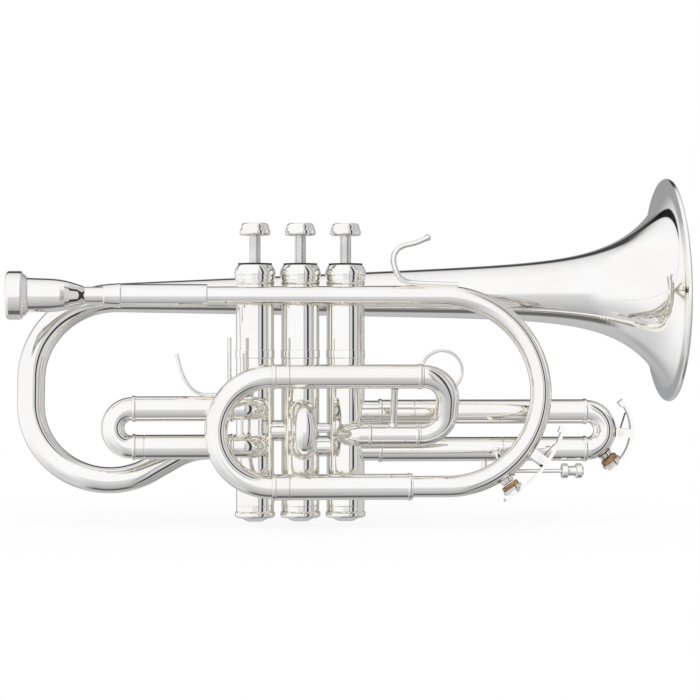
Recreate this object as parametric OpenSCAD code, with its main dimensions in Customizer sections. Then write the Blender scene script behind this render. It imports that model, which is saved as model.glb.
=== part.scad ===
// Silver-plated cornet with a shepherd's crook, three top-sprung piston valves,
// a front tuning slide, three valve slides and two water keys.
// +X points to the bell, +Z is up along the valves, -Y is the player's right side.
// The origin is the middle of the flat underside of the middle bottom cap.

/* [Valves] */
// Distance between neighbouring valve axes
valve_pitch = 25.1; // [24:0.1:32]
// Outer diameter of a valve casing
casing_d = 21.0; // [20.6:0.1:23]
// Bore of a valve casing, which the piston runs in
casing_bore = 18.2; // [16.5:0.1:18.6]
// Height of the plain part of a casing, from bottom cap to top cap
casing_h = 122; // [115:1:150]
// Height of a top cap above the casing
top_cap_h = 11.3; // [9:0.1:16]
// Height of the gap between a top cap and its finger button
button_gap = 16.1; // [13:0.1:20]
// Diameter of a valve stem
stem_d = 6.2; // [5:0.1:7]
// Diameter of a finger button
button_d = 17.0; // [14:0.1:19]
// Radial clearance between piston and casing
piston_gap = 0.03; // [0.02:0.01:0.08]

/* [Tubing] */
// Outer diameter of the outer slide tubes
slide_od = 13.6; // [13.2:0.1:14.2]
// Wall of every slide tube
slide_wall = 0.5; // [0.4:0.05:0.7]
// Radial clearance between an inner slide leg and its outer tube
slide_gap = 0.05; // [0.03:0.01:0.1]
// Bore of the valve passages and ports
port_bore = 10.4; // [9:0.1:10.6]
// Outer diameter of the leadpipe where it leaves the receiver
leadpipe_d_start = 9.9; // [9:0.1:12]
// Outer diameter of the leadpipe where it meets the main crook
leadpipe_d_end = 11.7; // [11:0.1:13]
// Height of the leadpipe axis
leadpipe_z = 124.2; // [118:0.1:128]

/* [Bell] */
// Diameter of the bell at its rim
bell_d = 127; // [115:1:150]
// Distance from the middle valve to the bell rim
bell_reach = 212; // [190:1:255]
// Height of the bell axis at the rim
bell_z = 128.8; // [122:0.1:135]
// Angle that the bell rises towards its rim
bell_rise = 0.9; // [0:0.1:2]
// Wall of the bell
bell_wall = 0.6; // [0.5:0.05:1]

/* [Slides] */
// Height of the upper leg of the tuning slide
tuning_top_z = 80.2; // [79:0.1:84]
// Height of the lower leg of the tuning slide
tuning_low_z = 20.6; // [17:0.1:22]
// Distance between the legs of the first and third slides
slide_spacing = 20.8; // [20:0.1:22]
// Reach of the first slide, from the first valve to the start of its bow
first_reach = 67.5; // [60:0.5:81]
// Reach of the second slide, from the second valve to the start of its bow
second_reach = 28.2; // [24:0.1:34]
// Reach of the third slide, from the third valve to the start of its bow
third_reach = 134.9; // [112:0.1:150]

/* [Mouthpiece] */
// Diameter of the mouthpiece rim
mouthpiece_d = 26.4; // [24:0.1:29]
// Distance from the middle valve to the mouthpiece end of the receiver
receiver_reach = 108.3; // [104:0.1:130]
// Length of the mouthpiece outside the receiver
mouthpiece_out = 52.2; // [46:0.1:60]

/* [Hidden] */
$fn = 64;

silver = "gainsboro";
eps = 0.01;
through = 1;

// Valve heights, from the bottom cap up
cap_nub_h = 1.9;
cap_flange_h = 3.6;
bottom_cap_h = 8.6;
casing_z0 = bottom_cap_h;
casing_z1 = casing_z0 + casing_h;
cap_top_z = casing_z1 + top_cap_h;
felt_h = 0.6;
button_z = cap_top_z + button_gap;
button_h = 6.6;
valve_stop_gap = 0.3;
stroke = button_gap - felt_h - valve_stop_gap;
neck_len = 6.4;
neck_d = casing_d - 1.2;
neck_gap = 0.05;
piston_d = casing_bore - 2 * piston_gap;

// Port heights on the casings
first_top_z = 62.7;
first_low_z = first_top_z - slide_spacing;
second_top_z = 61.1;
second_spacing = 19.5;
second_low_z = second_top_z - second_spacing;
third_top_z = 60.3;
third_low_z = third_top_z - slide_spacing;
entry_z = 48.4;
link_12_z = 50.0;
link_23_z = 41.4;
exit_z = 41.1;

// Tube sizes and the planes that the tubes lie in
bow_od = slide_od - 0.9;
slide_id = slide_od - 2 * slide_wall;
leg_od = slide_id - 2 * slide_gap;
leg_id = leg_od - 2 * slide_wall;
bow_id = leg_id;
tuning_low_od = slide_od + 0.6;
tuning_top_od = slide_od - 0.4;
elbow_r = 8.6;
front_y = -(casing_d / 2 + elbow_r + 0.1);
tuning_y = front_y - slide_od - 0.7;
leadpipe_y = -(casing_d / 2 + leadpipe_d_end / 2 + 0.6);
bell_y = 25.5;
valve_1_x = -valve_pitch;
valve_3_x = valve_pitch;
ferrule_len = 1.9;
ferrule_wall = 0.45;
joint_gap = 0.3;

// ---- Shared shapes ----

// A straight tube along X from x0 to x1
module pipe_x(x0, x1, y, z, od, id) {
    translate([x0, y, z]) rotate([0, 90, 0]) difference() {
        cylinder(h = x1 - x0, d = od);
        translate([0, 0, -through]) cylinder(h = x1 - x0 + 2 * through, d = id);
    }
}

// A straight tube along Y from y0 to y1
module pipe_y(x, y0, y1, z, od, id) {
    translate([x, y0, z]) rotate([-90, 0, 0]) difference() {
        cylinder(h = y1 - y0, d = od);
        translate([0, 0, -through]) cylinder(h = y1 - y0 + 2 * through, d = id);
    }
}

// A bent tube of centre-line radius r, from angle a to b in the XY plane
module bend(r, a, b, od, id) {
    rotate([0, 0, a]) rotate_extrude(angle = b - a) translate([r, 0]) difference() {
        circle(d = od);
        circle(d = id);
    }
}

// Stands a shape drawn in XY up in XZ, leaning its top away by lean degrees
module upright(x, y, z, lean = 0) {
    translate([x, y, z]) rotate([90 - lean, 0, 0]) children();
}

// ---- Mouthpiece and leadpipe ----

receiver_x = -receiver_reach;
mouthpiece_x = receiver_x - mouthpiece_out;
shank_in = 21;
shank_d = 9.5;
shank_taper = 0.05;
shank_tip_d = shank_d - shank_in * shank_taper;
throat_d = 3.7;
cup_d = 16.6;
cup_depth = 14;
receiver_len = 9.7;
receiver_sleeve_len = 46.9;
receiver_d = 12.7;
sleeve_d = 12.6;
sleeve_end = receiver_x + receiver_len + receiver_sleeve_len;
leadpipe_start = receiver_x + shank_in + 2;

// Outline of the mouthpiece: distance from the rim, then diameter
mouthpiece_outline = [
    [0, mouthpiece_d - 3], [0.4, mouthpiece_d - 1.2], [1.6, mouthpiece_d],
    [8.2, mouthpiece_d], [8.8, mouthpiece_d - 0.8], [9.3, mouthpiece_d - 3.6],
    [10.6, mouthpiece_d - 4.6], [11.2, mouthpiece_d - 7.2], [12, 19],
    [23, 18.3], [29, 17.2], [34, 15.2], [39, 12.2], [41.6, 10.2], [42.6, 9.2],
    [43.2, shank_d]
];

// Inside of the cup: distance from the rim, then diameter
cup_outline = [
    [0, mouthpiece_d - 5.6], [0.6, cup_d + 1], [1.6, cup_d], [5, cup_d - 1],
    [9, cup_d - 4.4], [12, cup_d - 8.6], [cup_depth, throat_d + 0.8],
    [cup_depth + 3, throat_d]
];

module mouthpiece() {
    tip = mouthpiece_out + shank_in;
    color(silver) translate([mouthpiece_x, leadpipe_y, leadpipe_z]) rotate([0, 90, 0])
        rotate_extrude() polygon(concat(
            [for (p = mouthpiece_outline) [p[1] / 2, p[0]]],
            [[shank_d / 2, mouthpiece_out], [shank_tip_d / 2, tip], [shank_tip_d / 2 - 0.6, tip]],
            [for (i = [len(cup_outline) - 1:-1:0]) [cup_outline[i][1] / 2, cup_outline[i][0]]]
        ));
}

module receiver() {
    len = sleeve_end - receiver_x;
    seat_d = shank_d + 2 * slide_gap;
    color(silver) translate([receiver_x, leadpipe_y, leadpipe_z]) rotate([0, 90, 0])
        difference() {
            union() {
                cylinder(h = receiver_len, d1 = receiver_d - 1.2, d2 = receiver_d + 0.6);
                cylinder(h = len, d = sleeve_d);
            }
            translate([0, 0, -eps])
                cylinder(h = shank_in + 2 * eps, d1 = seat_d, d2 = seat_d - shank_in * shank_taper);
            cylinder(h = shank_in + 2, d = shank_tip_d);
            translate([0, 0, shank_in + 2])
                cylinder(h = len, d = leadpipe_d_start);
        }
}

// Even inside the receiver's sleeve, then widening to the main crook
module leadpipe() {
    cone_len = crook_x - sleeve_end;
    wall = 0.6;
    color(silver) translate([leadpipe_start, leadpipe_y, leadpipe_z]) rotate([0, 90, 0])
        difference() {
            union() {
                cylinder(h = sleeve_end - leadpipe_start, d = leadpipe_d_start);
                translate([0, 0, sleeve_end - leadpipe_start])
                    cylinder(h = cone_len, d1 = leadpipe_d_start, d2 = leadpipe_d_end);
            }
            translate([0, 0, -through])
                cylinder(h = sleeve_end - leadpipe_start + through + eps, d = leadpipe_d_start - 2 * wall);
            translate([0, 0, sleeve_end - leadpipe_start])
                cylinder(h = cone_len + eps, d1 = leadpipe_d_start - 2 * wall, d2 = leadpipe_d_end - 2 * wall);
        }
}

// ---- Main crook and tuning slide ----

crook_x = 77.9;
crook_rise = leadpipe_z - tuning_low_z;
crook_lean = atan((leadpipe_y - tuning_y) / crook_rise);
crook_r = crook_rise / cos(crook_lean) / 2;
crook_mid_y = (leadpipe_y + tuning_y) / 2;
crook_mid_z = (leadpipe_z + tuning_low_z) / 2;
crook_od = leadpipe_d_end;
crook_id = crook_od - 1.2;
crook_end_x = 58.8;
tuning_x = -17.6;
tuning_sleeve_len = 9.6;
tuning_outer_x = tuning_x + tuning_sleeve_len;
tuning_r = (tuning_top_z - tuning_low_z) / 2;
return_x = 64.6;
return_bend_r = 13.9;
tuning_leg_len = 58;
tuning_travel = 0.034;

module main_crook() {
    color(silver) {
        upright(crook_x, crook_mid_y, crook_mid_z, crook_lean)
            bend(crook_r, -90, 90, crook_od, crook_id);
        pipe_x(crook_end_x, crook_x - eps, tuning_y, tuning_low_z, crook_od, crook_id);
    }
}

module tuning_outer(x1, z, od) {
    color(silver) pipe_x(tuning_outer_x + eps, x1, tuning_y, z, od, od - 2 * slide_wall);
}

module tuning_outer_lower() {
    tuning_outer(crook_end_x - eps, tuning_low_z, tuning_low_od);
}

module tuning_outer_upper() {
    tuning_outer(return_x - eps, tuning_top_z, tuning_top_od);
}

module tuning_bow() {
    color(silver) upright(tuning_x - eps, tuning_y, (tuning_top_z + tuning_low_z) / 2)
        bend(tuning_r, 90, 270, bow_od, bow_id);
}

// One inner leg with the short sleeve that joins it to the bow
module tuning_leg(z, outer_od) {
    leg_d = outer_od - 2 * slide_wall - 2 * slide_gap;
    pipe_x(tuning_x + eps, tuning_x + tuning_leg_len, tuning_y, z, leg_d, leg_d - 2 * slide_wall);
    pipe_x(tuning_x, tuning_outer_x, tuning_y, z, outer_od, leg_d - eps);
    pipe_x(tuning_x, tuning_x + ferrule_len, tuning_y, z, outer_od + 2 * ferrule_wall, leg_d - eps);
}

module tuning_legs() {
    color(silver) {
        tuning_leg(tuning_low_z, tuning_low_od);
        tuning_leg(tuning_top_z, tuning_top_od);
    }
}

// ---- Return bow and entry to the third valve ----

return_rise = tuning_top_z - entry_z;
return_lean = atan((tuning_y - front_y) / return_rise);
return_span = return_rise / cos(return_lean);
return_straight = return_span - 2 * return_bend_r;
entry_od = slide_od - 1.0;
elbow_end_x = valve_3_x + elbow_r + 3;

module return_bow() {
    half = return_straight / 2;
    color(silver)
        upright(return_x + eps, (tuning_y + front_y) / 2, (tuning_top_z + entry_z) / 2, return_lean) {
            translate([0, half, 0]) bend(return_bend_r, 0, 90, bow_od, bow_id);
            translate([0, -half, 0]) bend(return_bend_r, -90, 0, bow_od, bow_id);
            translate([return_bend_r, -half, 0]) rotate([-90, 0, 0]) difference() {
                cylinder(h = return_straight, d = bow_od);
                translate([0, 0, -eps]) cylinder(h = return_straight + 2 * eps, d = bow_id);
            }
        }
}

// An elbow from the front of a casing at x, turning towards +X (side 1) or -X (side -1)
module casing_elbow(x, z, side, od) {
    translate([x + side * elbow_r, front_y + elbow_r, z]) mirror([side > 0 ? 0 : 1, 0, 0])
        bend(elbow_r, 180, 270, od, port_bore);
    difference() {
        pipe_y(x, front_y + elbow_r, -casing_bore / 2, z, od, port_bore);
        translate([x, 0, z - od]) cylinder(h = 2 * od, d = casing_d + 2 * eps);
    }
}

module return_leg() {
    color(silver) {
        casing_elbow(valve_3_x, entry_z, 1, entry_od);
        pipe_x(valve_3_x + elbow_r, return_x - eps, front_y, entry_z, entry_od, port_bore);
    }
}

// A narrow ring round a tube of diameter d, with its middle at x
module ring_band(x, y, z, d) {
    pipe_x(x - ferrule_len / 2, x + ferrule_len / 2, y, z, d + 2 * ferrule_wall, d + 2 * eps);
}

module ferrule_rings() {
    color(silver) {
        ring_band(crook_end_x - ferrule_len, tuning_y, tuning_low_z, tuning_low_od);
        ring_band(return_x - ferrule_len, tuning_y, tuning_top_z, tuning_top_od);
        ring_band(return_x - ferrule_len, front_y, entry_z, entry_od);
        ring_band(elbow_end_x, front_y, entry_z, entry_od);
    }
}

// ---- Valves ----

// Ports of each valve: [azimuth, height]. Azimuth 0 is +X, 180 is -X and 270 is the front.
// The first two are joined at rest; pressed, the first goes to the third and the fourth
// to the second.
ports_1 = [[0, link_12_z], [180, exit_z], [270, first_top_z], [270, first_low_z]];
ports_2 = [[0, link_23_z], [180, link_12_z], [270, second_low_z], [270, second_top_z]];
ports_3 = [[270, entry_z], [180, link_23_z], [0, third_top_z], [0, third_low_z]];

module port_hole(port, d) {
    translate([0, 0, port[1]]) rotate([0, 90, port[0]]) cylinder(h = casing_d, d = d);
}

module casing(x, ports) {
    band_z = 90.1;
    band_h = 4.5;
    color(silver) translate([x, 0, 0]) difference() {
        union() {
            translate([0, 0, casing_z0]) cylinder(h = casing_h, d = casing_d);
            translate([0, 0, casing_z0 - neck_len / 2]) cylinder(h = casing_h + 1.5 * neck_len, d = neck_d);
            translate([0, 0, band_z]) cylinder(h = band_h, d = casing_d + 0.6);
        }
        translate([0, 0, casing_z0 - neck_len]) cylinder(h = casing_h + 3 * neck_len, d = casing_bore);
        translate([0, 0, guide_z]) cylinder(h = casing_h, d = guide_seat_d);
        for (p = ports) port_hole(p, port_bore);
    }
}

module casing_1() { casing(valve_1_x, ports_1); }
module casing_2() { casing(0, ports_2); }
module casing_3() { casing(valve_3_x, ports_3); }

// Runs its children at each of the three valve axes
module each_valve() {
    for (x = [valve_1_x, 0, valve_3_x]) translate([x, 0, 0]) children();
}

module top_caps() {
    lip_d = casing_d + 1.2;
    crown_d = casing_d - 1.8;
    hole_d = stem_d + 0.9;
    color(silver) each_valve() translate([0, 0, casing_z1 + eps]) difference() {
        union() {
            cylinder(h = 2.6, d = lip_d);
            translate([0, 0, 2.6]) cylinder(h = 2.4, d = lip_d + 0.4);
            translate([0, 0, 5]) cylinder(h = 1.4, d = lip_d);
            translate([0, 0, 6.4]) cylinder(h = top_cap_h - 6.4 - eps, d1 = lip_d, d2 = crown_d);
        }
        translate([0, 0, -eps]) cylinder(h = neck_len + 2 * eps, d = neck_d + 2 * neck_gap);
        cylinder(h = top_cap_h + 1, d = hole_d);
    }
}

module bottom_caps() {
    color(silver) each_valve() difference() {
        union() {
            cylinder(h = cap_nub_h, d1 = 9, d2 = 14);
            translate([0, 0, cap_nub_h]) cylinder(h = cap_flange_h, d = casing_d + 1.1);
            translate([0, 0, cap_nub_h + cap_flange_h])
                cylinder(h = bottom_cap_h - cap_nub_h - cap_flange_h - eps, d1 = casing_d + 0.4, d2 = casing_d);
        }
        translate([0, 0, cap_nub_h + 1.4]) cylinder(h = bottom_cap_h, d = neck_d + 2 * neck_gap);
    }
}

module cap_felts() {
    color("dimgray") each_valve() translate([0, 0, cap_top_z])
        difference() {
            cylinder(h = felt_h, d = casing_d - 2.2);
            translate([0, 0, -eps]) cylinder(h = felt_h + 2 * eps, d = stem_d + 0.9);
        }
}

piston_z0 = min(exit_z, third_low_z, first_low_z) - port_bore / 2 - 2.2;
piston_z1 = first_top_z + stroke + port_bore / 2 + 2;
barrel_d = 15;
barrel_id = 12.6;
barrel_z1 = casing_z1 + neck_len - 0.6;
piston_wall = 0.8;
plate_h = 2.6;
guide_z = piston_z1 + 5;
guide_h = 2.4;
guide_seat_d = casing_bore + 0.7;
guide_wing_w = 4;
slot_gap = 0.35;
passage_d = port_bore - 0.4;

// A straight round bar of diameter d through a piston from port a to port b, lifted by up
module passage(a, b, up, d) {
    r = casing_bore / 2 + 1;
    start = [r * cos(a[0]), r * sin(a[0]), a[1] + up];
    end = [r * cos(b[0]), r * sin(b[0]), b[1] + up];
    way = end - start;
    len = norm(way);
    translate(start) rotate([0, acos(way[2] / len), atan2(way[1], way[0])])
        cylinder(h = len, d = d);
}

// The three passages of a piston: one for rest and two for when it is pressed
module passages(ports, d) {
    passage(ports[0], ports[1], 0, d);
    passage(ports[0], ports[2], stroke, d);
    passage(ports[3], ports[1], stroke, d);
}

module piston(x, ports) {
    slot_h = guide_h + stroke + 2 * slot_gap;
    color("lightgray") translate([x, 0, 0]) difference() {
        union() {
            difference() {
                translate([0, 0, piston_z0]) cylinder(h = piston_z1 - piston_z0, d = piston_d);
                translate([0, 0, piston_z0 - 1])
                    cylinder(h = piston_z1 - piston_z0 - piston_wall, d = piston_d - 2 * piston_wall);
            }
            intersection() {
                translate([0, 0, piston_z0]) cylinder(h = piston_z1 - piston_z0, d = piston_d);
                passages(ports, passage_d + 2 * piston_wall);
            }
            translate([0, 0, piston_z1]) cylinder(h = barrel_z1 - piston_z1, d = barrel_d);
        }
        translate([0, 0, piston_z1]) cylinder(h = barrel_z1 - piston_z1 - plate_h, d = barrel_id);
        translate([0, 0, guide_z - slot_gap + slot_h / 2])
            cube([barrel_d + 2, guide_wing_w + 2 * slot_gap, slot_h], center = true);
        passages(ports, passage_d);
    }
}

module piston_1() { piston(valve_1_x, ports_1); }
module piston_2() { piston(0, ports_2); }
module piston_3() { piston(valve_3_x, ports_3); }

// The guides rest on a step in each casing, with two wings through the piston's slots
module valve_guides() {
    color("gold") each_valve() translate([0, 0, guide_z]) intersection() {
        cylinder(h = guide_h, d = guide_seat_d - 2 * slide_gap);
        union() {
            cylinder(h = guide_h, d = barrel_id - 2 * slot_gap);
            translate([-casing_d / 2, -guide_wing_w / 2, 0]) cube([casing_d, guide_wing_w, guide_h]);
        }
    }
}

// Points of a helix, and a tube swept round them
spring_wire = 0.9;
spring_coil_d = 10;
spring_turns = 7;
spring_steps = 12;
spring_sides = 6;

function helix_point(t, r, z0, h) = [r * cos(360 * t), r * sin(360 * t), z0 + h * t / spring_turns];

function ring_points(c, side, up, r, sides) =
    [for (i = [0:sides - 1]) c + r * (cos(360 * i / sides) * side + sin(360 * i / sides) * up)];

function unit(v) = v / norm(v);

// Faces of a closed tube of n rings with k points each, rings wound the same way
function tube_faces(n, k) = concat(
    [[for (i = [0:k - 1]) i]],
    [for (j = [0:n - 2], i = [0:k - 1]) each [
        [j * k + i, (j + 1) * k + i, j * k + (i + 1) % k],
        [j * k + (i + 1) % k, (j + 1) * k + i, (j + 1) * k + (i + 1) % k]
    ]],
    [[for (i = [k - 1:-1:0]) (n - 1) * k + i]]
);

module valve_spring(x) {
    z0 = guide_z + guide_h + 0.35 + spring_wire / 2;
    h = barrel_z1 - plate_h - 0.3 - spring_wire / 2 - z0;
    n = spring_turns * spring_steps + 1;
    r = spring_coil_d / 2;
    points = [for (j = [0:n - 1])
        let (t = j / spring_steps, c = helix_point(t, r, z0, h), out = [cos(360 * t), sin(360 * t), 0])
        each ring_points(c, out, [0, 0, 1], spring_wire / 2, spring_sides)];
    color("silver") translate([x, 0, 0]) polyhedron(points, tube_faces(n, spring_sides));
}

module valve_spring_1() { valve_spring(valve_1_x); }
module valve_spring_2() { valve_spring(0); }
module valve_spring_3() { valve_spring(valve_3_x); }

module stem(x) {
    color("silver") translate([x, 0, barrel_z1]) cylinder(h = button_z - barrel_z1, d = stem_d);
}

module stem_1() { stem(valve_1_x); }
module stem_2() { stem(0); }
module stem_3() { stem(valve_3_x); }

inlay_d = button_d - 4.6;
inlay_h = 1.6;

module button(x) {
    color(silver) translate([x, 0, button_z]) difference() {
        union() {
            cylinder(h = 0.8, d1 = button_d - 1.2, d2 = button_d);
            translate([0, 0, 0.8]) cylinder(h = 2.4, d1 = button_d, d2 = button_d - 0.6);
            translate([0, 0, 3.2]) cylinder(h = button_h - 4, d1 = button_d - 0.6, d2 = button_d - 2);
            translate([0, 0, button_h - 0.8])
                cylinder(h = 0.8, d1 = button_d - 2, d2 = button_d - 3.6);
        }
        translate([0, 0, button_h - inlay_h]) cylinder(h = inlay_h + 1, d = inlay_d + 0.1);
    }
}

module button_1() { button(valve_1_x); }
module button_2() { button(0); }
module button_3() { button(valve_3_x); }

module finger_inlay(x) {
    color("ivory") translate([x, 0, button_z + button_h - inlay_h + eps])
        cylinder(h = inlay_h - 0.3, d = inlay_d);
}

module finger_inlay_1() { finger_inlay(valve_1_x); }
module finger_inlay_2() { finger_inlay(0); }
module finger_inlay_3() { finger_inlay(valve_3_x); }

// Short tubes and a stay rod between neighbouring casings, cut to their round walls
module valve_links() {
    link_od = port_bore + 1.2;
    color(silver) difference() {
        union() {
            pipe_x(valve_1_x, 0, 0, link_12_z, link_od, port_bore);
            pipe_x(0, valve_3_x, 0, link_23_z, link_od, port_bore);
            translate([0, -2.5, 51.5]) rotate([0, 90, 0]) cylinder(h = valve_pitch, d = 5.6);
        }
        each_valve() cylinder(h = casing_z1, d = casing_d + 2 * eps);
    }
}

// ---- First slide ----

first_bow_x = valve_1_x - first_reach;
slide_bow_r = slide_spacing / 2;
sleeve_len = 6.7;
knuckle_x = valve_1_x - elbow_r - 5.8;

module first_outer() {
    color(silver) {
        for (z = [first_top_z, first_low_z]) {
            casing_elbow(valve_1_x, z, -1, entry_od);
            pipe_x(knuckle_x, valve_1_x - elbow_r, front_y, z, entry_od, port_bore);
            pipe_x(knuckle_x, knuckle_x + ferrule_len, front_y, z, slide_od + 2 * ferrule_wall, port_bore);
        }
        pipe_x(first_bow_x + sleeve_len, knuckle_x + ferrule_len, front_y, first_low_z, slide_od, slide_id);
        pipe_x(first_bow_x + 4, knuckle_x + 1, front_y, first_top_z, leg_od, leg_id);
    }
}

module first_bow() {
    color(silver) upright(first_bow_x - eps, front_y, first_top_z - slide_bow_r)
        bend(slide_bow_r, 90, 270, bow_od, bow_id);
}

// The upper leg slides outside a fixed tube, the lower leg inside one
module first_legs() {
    color(silver) {
        pipe_x(first_bow_x, knuckle_x - joint_gap, front_y, first_top_z, slide_od, slide_id);
        pipe_x(first_bow_x, knuckle_x - 12, front_y, first_low_z, leg_od, leg_id);
        pipe_x(first_bow_x, first_bow_x + sleeve_len - joint_gap, front_y, first_low_z, slide_od, leg_od - eps);
        for (z = [first_top_z, first_low_z])
            pipe_x(first_bow_x, first_bow_x + ferrule_len, front_y, z, slide_od + 2 * ferrule_wall, leg_id);
    }
}

saddle_w = 10.5;
saddle_t = 2.2;
saddle_x = -52.4;

// A flat strap bent to a wide U, standing on the upper leg of the first slide
module thumb_saddle() {
    z0 = first_top_z + slide_od / 2 - 0.4;
    strap = [[-16.2, 23.6], [-13.6, 14.2], [-11.2, 8.6], [-6.8, 3.4], [-2, 1.1], [9.2, 1.1], [12.4, 4.6],
        [12.6, 32.4]];
    color(silver) translate([saddle_x, front_y + saddle_w / 2, z0]) rotate([90, 0, 0])
        linear_extrude(saddle_w) for (i = [0:len(strap) - 2]) hull() {
            translate(strap[i]) circle(d = saddle_t, $fn = 24);
            translate(strap[i + 1]) circle(d = saddle_t, $fn = 24);
        }
}

// ---- Second slide ----

second_bow_y = -second_reach;
second_seam_y = second_bow_y + 3.5;

module second_outer() {
    color(silver) difference() {
        for (z = [second_top_z, second_low_z])
            pipe_y(0, second_seam_y, -casing_bore / 2, z, slide_od, slide_id);
        cylinder(h = casing_z1, d = casing_d + 2 * eps);
    }
}

module second_bow() {
    color(silver) translate([0, second_bow_y - eps, (second_top_z + second_low_z) / 2]) rotate([90, 0, 90])
        bend(second_spacing / 2, 90, 270, bow_od, bow_id);
}

module second_legs() {
    color(silver) for (z = [second_top_z, second_low_z]) {
        pipe_y(0, second_bow_y, -casing_d / 2 - 1.5, z, leg_od, leg_id);
        pipe_y(0, second_bow_y, second_seam_y - joint_gap, z, slide_od, leg_od - eps);
    }
}

// ---- Third slide ----

third_bow_x = valve_3_x + third_reach;
third_knuckle_x = valve_3_x + 20.1;
third_top_seam = valve_3_x + 38.1;
third_low_seam = valve_3_x + 87.6;

module third_outer() {
    color(silver) {
        for (z = [third_top_z, third_low_z]) {
            difference() {
                pipe_x(valve_3_x, third_knuckle_x, 0, z, entry_od, port_bore);
                translate([valve_3_x, 0, 0]) cylinder(h = casing_z1, d = casing_d + 2 * eps);
            }
            pipe_x(third_knuckle_x - ferrule_len, third_knuckle_x, 0, z, slide_od + 2 * ferrule_wall, port_bore);
        }
        pipe_x(third_knuckle_x - 1, third_top_seam - joint_gap, 0, third_top_z, slide_od, leg_od - eps);
        pipe_x(third_knuckle_x - 1, third_bow_x - 4, 0, third_top_z, leg_od, leg_id);
        pipe_x(third_knuckle_x - 1, third_low_seam - joint_gap, 0, third_low_z, slide_od, slide_id);
    }
}

module third_bow() {
    color(silver) upright(third_bow_x + eps, 0, third_top_z - slide_bow_r)
        bend(slide_bow_r, -90, 90, bow_od, bow_id);
}

module third_legs() {
    color(silver) {
        pipe_x(third_top_seam, third_bow_x, 0, third_top_z, slide_od, slide_id);
        pipe_x(third_knuckle_x + 14, third_bow_x, 0, third_low_z, leg_od, leg_id);
        pipe_x(third_low_seam, third_bow_x, 0, third_low_z, slide_od, leg_od - eps);
        for (z = [third_top_z, third_low_z])
            pipe_x(third_bow_x - ferrule_len, third_bow_x, 0, z, slide_od + 2 * ferrule_wall, leg_id);
        stop_eye();
    }
}

// An eye under the moving sleeve that rides along the stop rod
module stop_eye() {
    neck_h = third_low_z - slide_od / 2 + stay_sink - stop_z;
    translate([stop_eye_x, 0, stop_z]) difference() {
        union() {
            rotate([0, 90, 0]) cylinder(h = stop_eye_t, d = 5.6);
            translate([0, -1.4, 0]) cube([stop_eye_t, 2.8, neck_h]);
        }
        translate([-1, 0, 0]) rotate([0, 90, 0]) cylinder(h = stop_eye_t + 2, d = stop_rod_d + 4 * slide_gap);
    }
}

ring_x = valve_3_x + 53.8;
ring_r = 11.3;
ring_wire = 1.6;

module finger_ring() {
    tube_top = third_top_z + slide_od / 2;
    ring_z = 82.9;
    color(silver) union() {
        upright(ring_x, 0, ring_z) rotate_extrude() translate([ring_r, 0]) circle(d = ring_wire);
        translate([ring_x, 0, tube_top - stay_sink])
            cylinder(h = ring_z - ring_r - tube_top + stay_sink + 0.2, d1 = 3.4, d2 = 2.2);
    }
}

stop_z = 27.1;
stop_rod_x0 = valve_3_x + 79;
stop_rod_x1 = valve_3_x + 133;
stop_rod_d = 2.2;
stop_eye_x = third_low_seam + 4;
stop_eye_t = 3;
nut_x = valve_3_x + 121;
nut_len = 12.2;
nut_d = 8.4;

// A rod on a bracket under the fixed tube
module stop_rod() {
    tube_low = third_low_z - slide_od / 2;
    color(silver) {
        translate([stop_rod_x0, 0, stop_z]) rotate([0, 90, 0])
            cylinder(h = stop_rod_x1 - stop_rod_x0, d = stop_rod_d);
        translate([stop_rod_x0 - 3, -1.6, stop_z - 1.6]) cube([3, 3.2, tube_low - stop_z + 2]);
    }
}

// A spool with two knurled flanges, screwed on the end of the rod
module stop_nut() {
    color(silver) translate([nut_x, 0, stop_z]) rotate([0, 90, 0]) difference() {
        union() {
            cylinder(h = 3.2, d = nut_d);
            cylinder(h = nut_len, d = nut_d - 2.8);
            translate([0, 0, nut_len - 4.2]) cylinder(h = 3.2, d = nut_d);
        }
        translate([0, 0, -eps]) cylinder(h = nut_len + 2 * eps, d = stop_rod_d + 2 * slide_gap);
    }
}

// ---- Bell and shepherd's crook ----

bell_tail_x = -101;
bell_len = bell_reach - bell_tail_x;
rim_bead = 1.5;
crook_tail_d = 16.2;
bell_steps = 44;

// Radius of the bell at distance d behind the rim: a slow cone, a flare and a lip
flare_r = 39.2;
flare_len = 23.6;
lip_r = 6.3;
lip_len = 3.2;
cone_r = bell_d / 2 - flare_r - lip_r;
cone_slope = (cone_r - crook_tail_d / 2) / bell_len;

function bell_radius(d) =
    cone_r - cone_slope * d + flare_r * exp(-d / flare_len) + lip_r * exp(-d / lip_len);

function bell_station(i) = bell_len * pow(i / bell_steps, 2.2);

module bell() {
    outer = [for (i = [0:bell_steps]) [bell_radius(bell_station(i)), -bell_station(i)]];
    inner = [for (i = [bell_steps:-1:0])
        [bell_radius(bell_station(i)) - bell_wall * (i == 0 ? 1.6 : 1), -bell_station(i)]];
    color(silver) translate([bell_reach, bell_y, bell_z]) rotate([0, 90 - bell_rise, 0]) difference() {
        union() {
            rotate_extrude($fn = 96) polygon(concat(outer, inner));
            rotate_extrude($fn = 96) translate([bell_d / 2 - rim_bead, -rim_bead * 0.55])
                circle(r = rim_bead, $fn = 24);
        }
        cylinder(h = 4 * rim_bead, d = bell_d + 4 * rim_bead);
    }
}

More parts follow.
